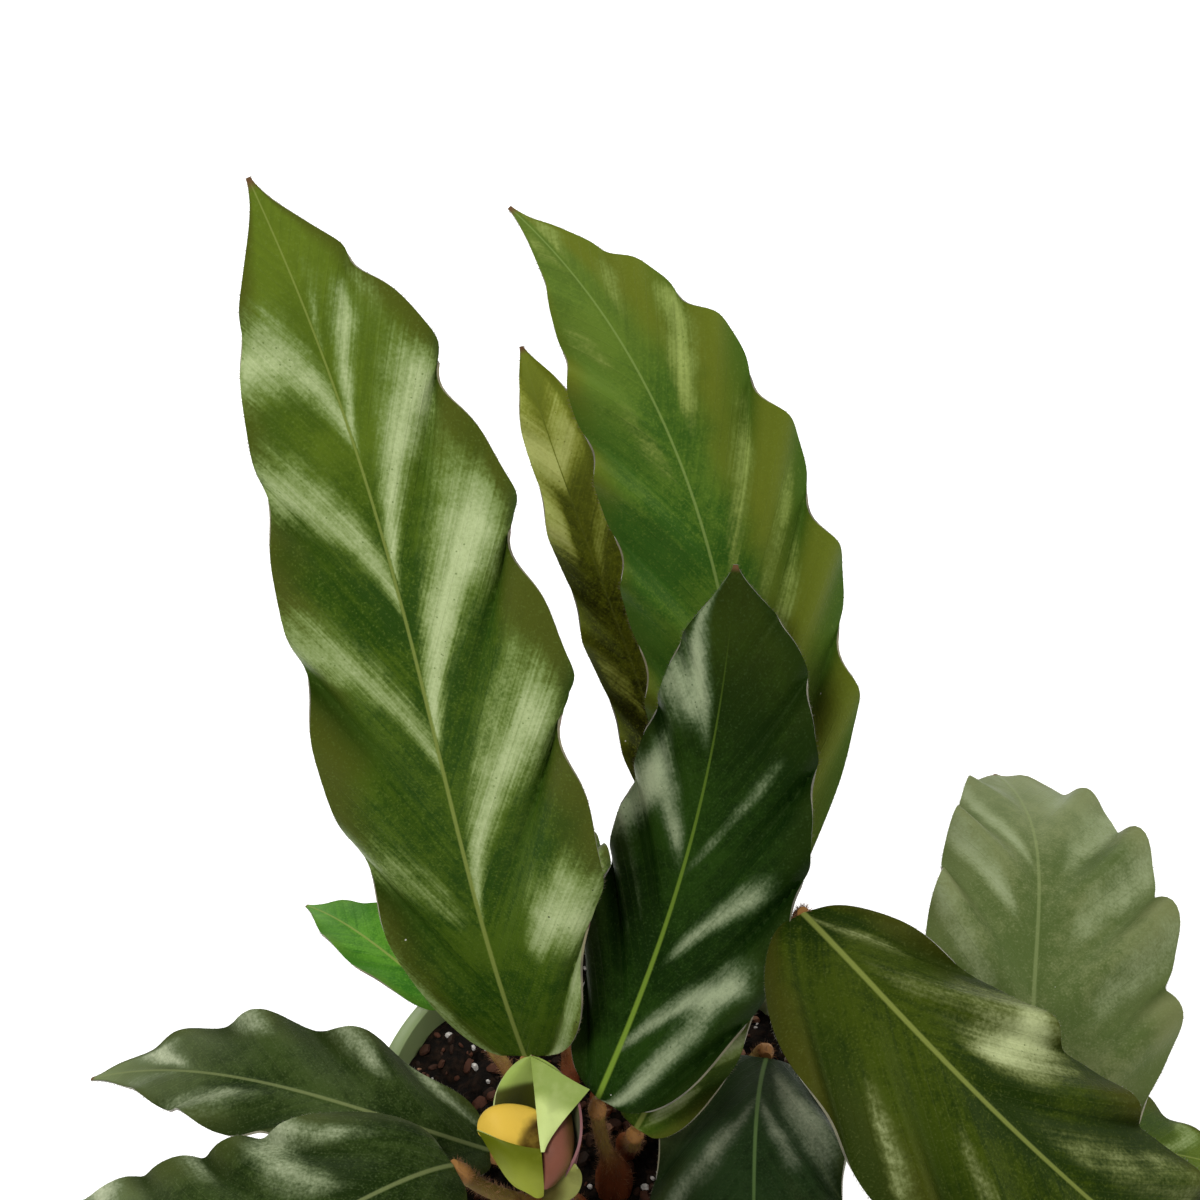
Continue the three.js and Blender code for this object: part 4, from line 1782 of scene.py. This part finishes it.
@dataclass
class YoungLeaf:
    """The young leaf, still rolled round a line beside its midrib.

    Of the pairs, radius and wind, the roll's radius and its turn to each side in radians, are at
    the foot and at the mouth, and flare is for the left and the right edge. Facing is the way that
    the mouth points, in degrees from +X.
    """

    name: str = "young"
    midrib: tuple[Point, ...] = ((-10, -32, 117), (-14, -31, 131), (-17, -27, 145), (-18, -22, 159))
    radius: Pair = (1.8, 8.0)
    wind: Pair = (3.5, 2.7)
    opened: float = 0.7
    closing: float = 0.85
    flare: Pair = (4.0, 1.5)
    flare_from: float = 0.35
    flare_full: float = 0.65
    spiral: float = 0.4
    lean: float = 0.05
    facing: float = 280.0
    # Where the painted shade deep in the roll begins and ends, and how it slants across
    painted_roll_shade_edge: Pair = (0.88, 0.82)
    painted_roll_shade_slant: float = 0.03
    mauve_edge: Pair = (0.1, -0.4)
    thickness: float = 0.6
    rows: int = 90
    columns: int = 150
    wraps: tuple[Wrap, ...] = (
        Wrap("flap", (
            ((-0.1, 15.2, 6.6), (4.0, 13.2, 6.4), (8.2, 10.7, 6.8), (13.3, 8.0, 7.4)),
            ((0.9, 6.6, 5.4), (3.5, 6.1, 6.8), (6.4, 4.8, 7.4), (9.3, 3.4, 7.4)),
            ((1.6, 0.9, 7.8), (3.1, 0.5, 8.6), (4.5, -0.3, 8.8), (5.6, -1.2, 8.4)),
            ((2.5, -5.5, 9.4), (2.7, -5.5, 9.5), (3.0, -5.5, 9.5), (3.3, -5.5, 9.4)),
        ), WrapTone.FLAP, Fade.UPWARD),
        Wrap("tongue", (
            ((-10.5, 1.5, 4.0), (-7.5, 3.0, 5.0), (-2.5, 3.0, 4.0), (2.0, 1.5, 3.0)),
            ((-11.4, 1.8, 7.0), (-8.0, 4.2, 9.0), (-3.0, 4.4, 8.0), (2.2, 3.0, 6.0)),
            ((-11.8, -0.2, 7.6), (-7.5, 0.4, 10.2), (-3.0, 0.0, 9.6), (2.4, -0.5, 7.6)),
            ((-11.2, -2.0, 7.0), (-7.0, -5.0, 9.4), (-3.0, -5.5, 9.0), (2.6, -5.5, 7.4)),
        ), WrapTone.TONGUE, Fade.SLANTED),
        Wrap("lobe", (
            ((-11.9, -0.8, 7.8), (-7.0, -2.6, 10.6), (-2.5, -4.0, 10.4), (2.6, -4.8, 8.6)),
            ((-8.2, -6.6, 7.0), (-4.8, -7.0, 9.8), (-1.0, -8.0, 9.8), (2.9, -8.8, 8.2)),
            ((-4.9, -11.6, 4.4), (-2.4, -11.8, 6.2), (0.4, -12.0, 6.4), (3.1, -12.4, 5.2)),
            ((-1.6, -13.9, 0.6), (0.0, -14.9, 0.8), (1.4, -15.6, 0.6), (2.9, -15.2, 0.4)),
        ), WrapTone.LOBE, Fade.UPWARD, pale_edge=True),
        Wrap("back", (
            ((3.0, 2.0, 4.6), (5.5, 3.0, 5.4), (7.6, 3.0, 5.0), (9.2, 2.6, 4.0)),
            ((2.8, -2.0, 6.8), (5.6, -2.4, 7.4), (8.2, -2.4, 6.6), (9.8, -2.4, 5.0)),
            ((2.8, -8.0, 7.0), (5.2, -8.0, 7.8), (7.8, -7.6, 7.4), (9.2, -7.4, 6.4)),
            ((2.8, -13.6, 3.4), (3.4, -13.6, 3.6), (4.2, -13.4, 3.4), (5.4, -12.8, 2.8)),
        ), WrapTone.BACK),
        Wrap("foot", (
            ((3.0, -11.0, 2.0), (6.0, -9.2, 4.6), (9.0, -8.0, 5.8), (10.4, -8.6, 5.8)),
            ((3.0, -12.6, 1.4), (6.0, -12.0, 2.4), (9.0, -11.0, 4.2), (11.6, -11.0, 4.6)),
            ((2.8, -14.6, 0.0), (5.6, -14.6, 0.4), (8.6, -14.0, 1.4), (11.0, -13.8, 2.0)),
            ((2.4, -16.4, -2.4), (4.8, -16.8, -2.2), (7.4, -16.6, -1.4), (9.4, -15.6, -0.6)),
        ), WrapTone.FOOT, pale_edge=True),
    )
    finish: YoungFinish = YoungFinish()

    def __post_init__(self) -> None:
        """Lays the midrib."""
        self.arc = Arc.through(self.midrib)

    def _points(self, row: Array, column: Array) -> Array:
        """Points on the inner face.

        Args:
            row: 0 at the foot to 1 at the mouth.
            column: -1 at the right edge to 1 at the left edge.

        Returns:
            The points in millimetres.
        """
        share = smooth(row, 0.0, self.opened)
        narrowed = np.maximum(0.0, 1 - row**3)
        flare = np.where(column > 0, self.flare[0], self.flare[1]) * np.sqrt(narrowed) * column**4
        flare = flare * smooth(row, self.flare_from, self.flare_full)
        radius = lerp(self.radius, share) * (1 - self.spiral * column * (1 - row)) + flare
        turn = column * (lerp(self.wind, share) * narrowed**self.closing + self.lean)
        facing = math.radians(self.facing)
        along = self.arc.tangent(row)
        ahead = np.array((math.cos(facing), math.sin(facing), 0.0))
        mouth = unit(ahead - along * (along @ ahead)[:, None])
        side = np.cross(mouth, along)
        middle = self.arc.point(row) + mouth * lerp(self.radius, share)[:, None]
        outward = -mouth * np.cos(turn)[:, None] + side * np.sin(turn)[:, None]
        return middle + outward * (radius - self.thickness)[:, None]

    def build(self) -> None:
        """Makes the rolled leaf in place of its CAD solid."""
        leaf = new_sheet(f"leaf_{self.name}", self.rows, self.columns)
        grid = points_of(leaf)
        row, column = (grid[:, 0] + 1.0) / 2.0, grid[:, 1]
        move_points(leaf, self._points(row, column) * MM)
        # Painted shade deep down in the roll
        write_attribute(leaf, "depth", smooth(row - self.painted_roll_shade_slant * column, *self.painted_roll_shade_edge))
        write_attribute(leaf, "mauve", smooth(column, *self.mauve_edge))
        finish = self.finish
        dress(leaf, finish.inner("young_inner"), finish.outer("young_outer"), finish.rim("young_rim"))
        thicken(leaf, self.thickness, rim_material=2)
        shade(leaf, 60.0)
        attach(leaf, BODY)
        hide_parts(f"blade_{self.name}")
        for wrap in self.wraps:
            wrap.build()
        log.info("young leaf: %d faces and %d turns", len(leaf.data.polygons), len(self.wraps))


@dataclass
class Leaf:
    """One leaf: its blade and the stalk that carries it."""

    blade: LeafBlade | YoungLeaf
    root: Pair
    sheath: float
    pull: Point

    def build(self) -> None:
        """Makes the blade, then the stalk that meets its foot."""
        self.blade.build()
        midrib = self.blade.arc
        start = np.zeros(1)
        Petiole(
            name=self.blade.name, root=self.root, sheath=self.sheath, pull=self.pull,
            blade_foot=tuple(midrib.point(start)[0]), blade_way=midrib.tangent(start)[0],
        ).build()


class Clump:
    """All the leaves of the plant, with the places of their midribs, roots and pulls."""

    def __init__(self) -> None:
        """Sets out each leaf, and on it each band of painted sheen from its foot, spread, near and far
        on.
        """
        self.leaves = [
            Leaf(LeafBlade(
                "back_left", ((-20, -13, 147), (-34, -3, 216), (-47, 15, 279), (-70, 40, 344)),
                heading=90, roll=(-18, 6), half_width=(25, 30), curl=0.03, waves=(4.3, 4.75),
                wave_height=3.5, start=(0.6, 0.04), scallop=(0.04, 0.1), skew=0.8, vein_angle=26,
                tip_start=0.83, sheens=(
                    Sheen(Half.RIGHT, 0.880, 0.022, -0.10, 0.40, 0.40, 0.05),
                    Sheen(Half.RIGHT, 0.795, 0.033, -0.10, 0.62, 0.85, 0.06, 0.06),
                    Sheen(Half.RIGHT, 0.750, 0.025, 0.70, 1.00, 0.50),
                    Sheen(Half.RIGHT, 0.660, 0.037, -0.10, 0.90, 0.95, 0.07, 0.06),
                    Sheen(Half.RIGHT, 0.490, 0.046, -0.10, 0.90, 1.00, 0.08, 0.06),
                    Sheen(Half.RIGHT, 0.285, 0.042, -0.10, 0.90, 0.85, 0.10, 0.07),
                    Sheen(Half.RIGHT, 0.105, 0.030, 0.45, 0.95, 0.95, 0.15),
                    Sheen(Half.RIGHT, -0.080, 0.025, 0.80, 1.15, 0.80, 0.0, 0.0),
                    Sheen(Half.LEFT, 0.780, 0.042, -0.10, 1.10, 0.85, 0.10, 0.03),
                    Sheen(Half.LEFT, 0.605, 0.036, -0.10, 1.05, 0.75, 0.10, 0.03),
                    Sheen(Half.LEFT, 0.415, 0.032, -0.10, 1.10, 0.60, 0.10, 0.02),
                    Sheen(Half.LEFT, 0.170, 0.035, 0.15, 1.10, 0.35, 0.12, 0.0),
                    Sheen(Half.LEFT, -0.070, 0.030, 0.80, 1.15, 0.50, 0.0, 0.0),
                ),
            ), root=(-10, -9), sheath=3.1, pull=(-17, -15, 128)),
            Leaf(LeafBlade(
                "back_right", ((33, 12, 163), (27.5, 34, 229), (10, 54, 283), (-22, 78, 319)),
                heading=90, roll=(6, 6), half_width=(20.5, 26.5), waves=(6, 5.75), wave_height=3,
                start=(0.22, 0.78), scallop=(0.06, 0.09), skew=-0.7, vein_angle=28, tip_start=0.72,
                taper=0.3, tone=LeafTone.OLIVE, sheens=(
                    Sheen(Half.RIGHT, 0.930, 0.035, 0.10, 0.90, 0.50),
                    Sheen(Half.RIGHT, 0.800, 0.035, 0.20, 0.80, 0.30),
                    Sheen(Half.RIGHT, 0.640, 0.035, 0.25, 0.95, 0.80),
                    Sheen(Half.RIGHT, 0.470, 0.030, 0.15, 0.80, 0.50),
                    Sheen(Half.RIGHT, 0.360, 0.022, 0.30, 0.90, 0.35),
                    Sheen(Half.RIGHT, 0.280, 0.025, 0.20, 0.80, 0.50),
                    Sheen(Half.LEFT, 0.920, 0.035, 0.10, 0.90, 0.35),
                    Sheen(Half.LEFT, 0.740, 0.030, 0.30, 0.90, 0.30),
                    Sheen(Half.LEFT, 0.620, 0.050, 0.10, 0.50, 0.30),
                ),
            ), root=(16, -4), sheath=3.1, pull=(33, 31, 132)),
            Leaf(LeafBlade(
                "back_middle", ((22, 32, 145), (11, 60, 185), (-6, 79, 230), (-21, 94, 275)),
                heading=80, roll=(10, 10), half_width=(9, 17), cup=0.15, waves=(4.9, 4.5),
                wave_height=3, start=(0.03, 0.5), scallop=(0.1, 0.05), skew=-0.5, tip_start=0.9,
                taper=0.6, tone=LeafTone.BRONZE, sheens=(
                    Sheen(Half.LEFT, 0.790, 0.065, -0.10, 1.10, 1.00, 0.0, 0.0),
                    Sheen(Half.LEFT, 0.640, 0.045, 0.40, 1.10, 0.90),
                    Sheen(Half.LEFT, 0.370, 0.040, 0.10, 0.90, 0.35),
                    Sheen(Half.RIGHT, 0.800, 0.060, -0.10, 0.70, 0.85, 0.0, 0.0),
                    Sheen(Half.RIGHT, 0.640, 0.040, 0.00, 0.60, 0.35),
                    Sheen(Half.RIGHT, 0.280, 0.060, 0.20, 0.80, 0.30),
                ),
            ), root=(-2, 2), sheath=3.1, pull=(24, 24, 126)),
            Leaf(LeafBlade(
                "middle", ((-3, -24, 146), (12, -6, 183), (22, 12, 219), (27, 32, 257)),
                heading=80, roll=(-24, 0), half_width=(17.5, 27), cup=0.04, curl=0.04,
                waves=(5.4, 4.4), wave_height=3, start=(0.09, 0.43), scallop=(0.03, 0.03), skew=0.8,
                vein_angle=26, tip_start=0.85, tone=LeafTone.DEEP, sheens=(
                    Sheen(Half.LEFT, 0.680, 0.055, 0.10, 1.10, 0.85, -0.17, 0.0),
                    Sheen(Half.LEFT, 0.670, 0.055, 0.35, 1.10, 0.85, 0.08, 0.0),
                    Sheen(Half.LEFT, 0.455, 0.040, 0.10, 0.85, 0.85, 0.05, 0.0),
                    Sheen(Half.LEFT, 0.500, 0.060, 0.62, 1.15, 1.00, 0.24),
                    Sheen(Half.LEFT, 0.260, 0.014, 0.30, 1.00, 0.30),
                    Sheen(Half.LEFT, 0.190, 0.012, 0.35, 1.00, 0.25),
                    Sheen(Half.RIGHT, 0.440, 0.022, 0.05, 0.70, 0.50, 0.03, 0.0),
                    Sheen(Half.RIGHT, 0.247, 0.024, 0.15, 0.80, 0.85, 0.17, 0.0),
                    Sheen(Half.RIGHT, 0.100, 0.024, 0.00, 0.90, 0.90, 0.20, 0.0),
                    Sheen(Half.RIGHT, -0.060, 0.045, 0.35, 0.72, 1.00, 0.0, 0.0),
                ),
            ), root=(1, -21), sheath=4.6, pull=(-3, -26, 128)),
            Leaf(LeafBlade(
                "behind_middle", ((6, -22, 132), (18, -12, 155), (26, -4, 174), (31, 4, 187)),
                heading=70, roll=(-6, 0), half_width=(12, 13), curl=0.04, waves=(3, 3),
                wave_height=1.5, start=(0.2, 0.6), scallop=(0.03, 0.03), sheens=(
                    Sheen(Half.RIGHT, 0.200, 0.050, 0.55, 1.10, 0.80),
                    Sheen(Half.RIGHT, 0.030, 0.050, 0.20, 0.70, 0.80, 0.0, 0.0),
                ),
            ), root=(4, -11), sheath=2.6, pull=(6, -21, 116)),
            Leaf(LeafBlade(
                "front_right", ((42, -12, 195), (64, -46, 194), (97, -69, 172), (142, -82, 138)),
                heading=-50, roll=(2, 4), half_width=(25, 30), cup=0.05, curl=0.15, waves=(5, 5),
                wave_height=3.5, start=(0.5, 0.43), scallop=(0.05, 0.04), skew=-0.6, taper=0.3,
                tone=LeafTone.SHADED, sheens=(
                    Sheen(Half.LEFT, 0.480, 0.080, 0.15, 1.00, 0.32, -0.05),
                    Sheen(Half.LEFT, 0.285, 0.045, 0.30, 1.00, 1.00, 0.17),
                    Sheen(Half.LEFT, 0.150, 0.060, 0.10, 1.00, 0.25, 0.10),
                    Sheen(Half.LEFT, 0.040, 0.020, 0.05, 0.70, 0.40, 0.08),
                    Sheen(Half.RIGHT, 0.315, 0.020, 0.30, 0.60, 0.60),
                    Sheen(Half.RIGHT, 0.110, 0.014, 0.55, 0.95, 0.60, 0.0, 0.0),
                ),
            ), root=(8, -2), sheath=3.1, pull=(48, 12, 162)),
            Leaf(LeafBlade(
                "right_back", ((101, -39, 128), (100, -3, 152), (107, 36, 161), (105, 80, 150)),
                heading=90, roll=(0, 8), half_width=(26, 33), waves=(4.1, 4.7), wave_height=4.5,
                start=(0.88, 0.83), scallop=(0.03, 0.06), skew=-0.6, vein_angle=40, tip_start=0.95,
                tone=LeafTone.PALE, sheens=(
                    Sheen(Half.LEFT, 0.660, 0.035, 0.10, 1.10, 0.65, -0.09),
                    Sheen(Half.LEFT, 0.480, 0.032, 0.25, 1.10, 0.65, -0.03),
                    Sheen(Half.LEFT, 0.250, 0.035, 0.30, 1.10, 0.40, -0.05),
                    Sheen(Half.RIGHT, 0.770, 0.050, 0.25, 1.10, 0.40),
                    Sheen(Half.RIGHT, 0.600, 0.050, 0.25, 1.10, 0.55),
                    Sheen(Half.RIGHT, 0.420, 0.050, 0.25, 1.10, 0.45),
                    Sheen(Half.RIGHT, 0.220, 0.050, 0.40, 1.10, 0.35),
                ),
            ), root=(17, -31), sheath=3.1, pull=(95, -48, 112)),
            Leaf(LeafBlade(
                "left_upper", ((-28, -28, 132), (-59, -27, 147), (-93, -14, 142), (-127, -3, 126)),
                heading=175, half_width=(14.5, 18.5), waves=(3.9, 3.7), wave_height=2.8,
                start=(0.31, 0.7), scallop=(0.04, 0.06), skew=-0.2, vein_angle=34, tip_start=0.58,
                tone=LeafTone.DULL, sheens=(
                    Sheen(Half.LEFT, 0.800, 0.060, 0.00, 0.90, 0.40),
                    Sheen(Half.LEFT, 0.520, 0.080, 0.20, 1.05, 0.50),
                    Sheen(Half.RIGHT, 0.750, 0.060, 0.10, 0.90, 0.90),
                    Sheen(Half.RIGHT, 0.420, 0.035, 0.65, 1.15, 0.60),
                    Sheen(Half.RIGHT, 0.155, 0.030, 0.55, 1.15, 0.60),
                    Sheen(Half.RIGHT, -0.030, 0.030, 0.60, 1.15, 0.55),
                ),
            ), root=(-18, -17), sheath=2.8, pull=(-22, -28, 122)),
            Leaf(LeafBlade(
                "left_lower", ((-35, -42, 146), (-59, -60, 154), (-91, -66, 145), (-137, -50, 137)),
                heading=200, half_width=(22, 28), cup=0.05, curl=0.08, waves=(4, 4.5),
                wave_height=1.8, start=(0.3, 0.56), scallop=(0.03, 0.03), skew=0.3, vein_angle=34,
                tone=LeafTone.DULL, sheens=(
                    Sheen(Half.RIGHT, 0.630, 0.060, 0.60, 1.15, 0.80),
                    Sheen(Half.RIGHT, 0.310, 0.030, 0.65, 1.10, 0.40),
                    Sheen(Half.RIGHT, 0.190, 0.050, 0.20, 1.10, 0.55, 0.19, 0.0),
                    Sheen(Half.RIGHT, -0.040, 0.030, 0.60, 1.15, 0.40, 0.0, 0.0),
                ),
            ), root=(-14, -34), sheath=3.1, pull=(-27, -41, 128)),
            Leaf(LeafBlade(
                "far_left", ((-41, 16, 133), (-52, 21, 140), (-65, 32, 141), (-79, 44, 137)),
                heading=140, half_width=(8, 11), waves=(2.5, 2.5), wave_height=1, start=(0.2, 0.5),
                scallop=(0.02, 0.02), tip_start=0.65, crest_sheen=0.15, tone=LeafTone.FRESH,
            ), root=(-19, -5), sheath=2.4, pull=(-33, 12, 128)),
            Leaf(LeafBlade(
                "back_low", ((-12, 34, 127), (-15, 58, 130), (-17, 82, 120), (-16, 104, 101)),
                heading=95, half_width=(16, 16), curl=0.06, waves=(3.5, 3.5), wave_height=2.5,
                start=(0.3, 0.6), scallop=(0.04, 0.04),
            ), root=(-10, 4), sheath=2.6, pull=(-11, 26, 124)),
            Leaf(LeafBlade(
                "front_middle", ((39, 5, 124), (34, -24, 130), (32, -54, 124), (30, -82, 104)),
                heading=-90, half_width=(21, 23), cup=0.05, curl=0.08, waves=(4.5, 4.5),
                wave_height=2.5, start=(0.2, 0.5), scallop=(0.04, 0.04), tone=LeafTone.DARK,
                sheens=(
                    Sheen(Half.LEFT, 0.050, 0.060, 0.20, 0.95, 0.80, 0.05),
                    Sheen(Half.LEFT, 0.210, 0.050, 0.00, 0.50, 0.60),
                    Sheen(Half.RIGHT, 0.210, 0.045, 0.00, 0.50, 0.50),
                    Sheen(Half.RIGHT, 0.180, 0.030, 0.35, 0.95, 0.60),
                ),
            ), root=(22, -14), sheath=2.8, pull=(41, 18, 120)),
            Leaf(LeafBlade(
                "right_low", ((60, -14, 119), (95, -11, 116), (130, -8, 106), (164, -5, 91)),
                heading=5, half_width=(19, 19), waves=(4, 4), wave_height=2.5, start=(0.2, 0.5),
                scallop=(0.04, 0.04),
            ), root=(21, -23), sheath=2.6, pull=(45, -16, 122)),
            Leaf(LeafBlade(
                "front_left", ((-28, -64, 126), (-44, -90, 132), (-60, -118, 122), (-74, -142, 98)),
                heading=238, half_width=(20, 20), curl=0.08, waves=(4, 4), wave_height=3,
                start=(0.2, 0.5), scallop=(0.05, 0.05),
            ), root=(-7, -37), sheath=2.8, pull=(-20, -56, 124)),
            Leaf(LeafBlade(
                "front_low", ((4, -66, 124), (5, -92, 125), (4, -118, 112), (2, -140, 88)),
                heading=-90, half_width=(17, 17), curl=0.08, waves=(3.5, 3.5), wave_height=2.5,
                start=(0.2, 0.5), scallop=(0.05, 0.05), tone=LeafTone.OLIVE,
            ), root=(4, -37), sheath=2.6, pull=(4, -54, 124)),
            Leaf(YoungLeaf(), root=(-8, -28), sheath=3.0, pull=(-10, -31, 112)),
        ]

    def build(self) -> None:
        """Makes every leaf."""
        for leaf in self.leaves:
            leaf.build()
        log.info("clump: %d leaves", len(self.leaves))


# Studio


@dataclass(frozen=True)
class SoftBox:
    """One soft light panel, in metres and watts."""

    name: str
    place: Point
    target: Point
    size: float
    power: float


@dataclass
class Studio:
    """Pale floor, soft light and the camera.

    The camera's place, lens and sensor are in millimetres, the rest in metres.
    """

    camera_place: Point = (-2.4, -297.3, 504.6)
    camera_pitch: float = 52.0
    lens: float = 57.0
    sensor: float = 36.0
    nearest: float = 0.01
    sky: float = 0.35
    floor_size: float = 14.0
    floor_drop: float = 0.0002
    floor_glow: float = 0.35
    panels: tuple[SoftBox, ...] = (
        SoftBox("light_key", (-0.7, -0.7, 1.6), (0.0, 0.0, 0.2), 0.6, 22.0),
        SoftBox("light_right", (1.3, 0.1, 1.1), (0.0, 0.0, 0.2), 0.8, 12.0),
        SoftBox("light_back", (-0.2, 1.4, 1.3), (0.0, 0.0, 0.2), 1.0, 14.0),
    )

    def set_camera(self) -> None:
        """Puts the camera where the picture was taken from."""
        clear_selection()
        place = tuple(value * MM for value in self.camera_place)
        bpy.ops.object.camera_add(location=place, rotation=(math.radians(self.camera_pitch), 0.0, 0.0))
        camera = bpy.context.object
        camera.name = "camera"
        camera.data.lens = self.lens
        camera.data.sensor_width = self.sensor
        camera.data.clip_start = self.nearest
        bpy.context.scene.camera = camera

    def _floor(self) -> None:
        """A plain pale floor."""
        clear_selection()
        bpy.ops.mesh.primitive_plane_add(
            size=self.floor_size, location=(0.0, 0.0, -self.floor_drop)
        )
        floor = bpy.context.object
        floor.name = "floor"
        desk = NodeDesk("floor_white")
        tone = desk.mix(desk.noise(3.0, 2.0), (0.880, 0.880, 0.870), (0.900, 0.900, 0.890))
        dress(floor, desk.finish(
            tone, 0.7, Emission_Color=(1.0, 1.0, 1.0), Emission_Strength=self.floor_glow
        ))

    def _panel(self, panel: SoftBox) -> None:
        """One light panel, turned to its target.

        Args:
            panel: The panel.
        """
        way = Vector(panel.target) - Vector(panel.place)
        clear_selection()
        bpy.ops.object.light_add(
            type="AREA", location=panel.place, rotation=way.to_track_quat("-Z", "Y").to_euler()
        )
        light = bpy.context.object
        light.name = panel.name
        light.data.size = panel.size
        light.data.energy = panel.power

    def build(self) -> None:
        """Makes the floor, the sky and the panels."""
        self._floor()
        world = bpy.context.scene.world or bpy.data.worlds.new("sky")
        bpy.context.scene.world = world
        world.use_nodes = True
        background = world.node_tree.nodes["Background"]
        background.inputs["Color"].default_value = (1.0, 1.0, 1.0, 1.0)
        background.inputs["Strength"].default_value = self.sky
        for panel in self.panels:
            self._panel(panel)
        bpy.context.scene.view_settings.view_transform = "Standard"
        log.info("studio: %d panels", len(self.panels))


def main() -> None:
    """Builds the camera, the part and the studio in order."""
    logging.basicConfig(level=logging.INFO, format="%(message)s")
    studio = Studio()
    studio.set_camera()
    pot = Pot()
    pot.build()
    PottingMix(pot).build()
    Clump().build()
    studio.build()


if __name__ == "__main__":
    main()
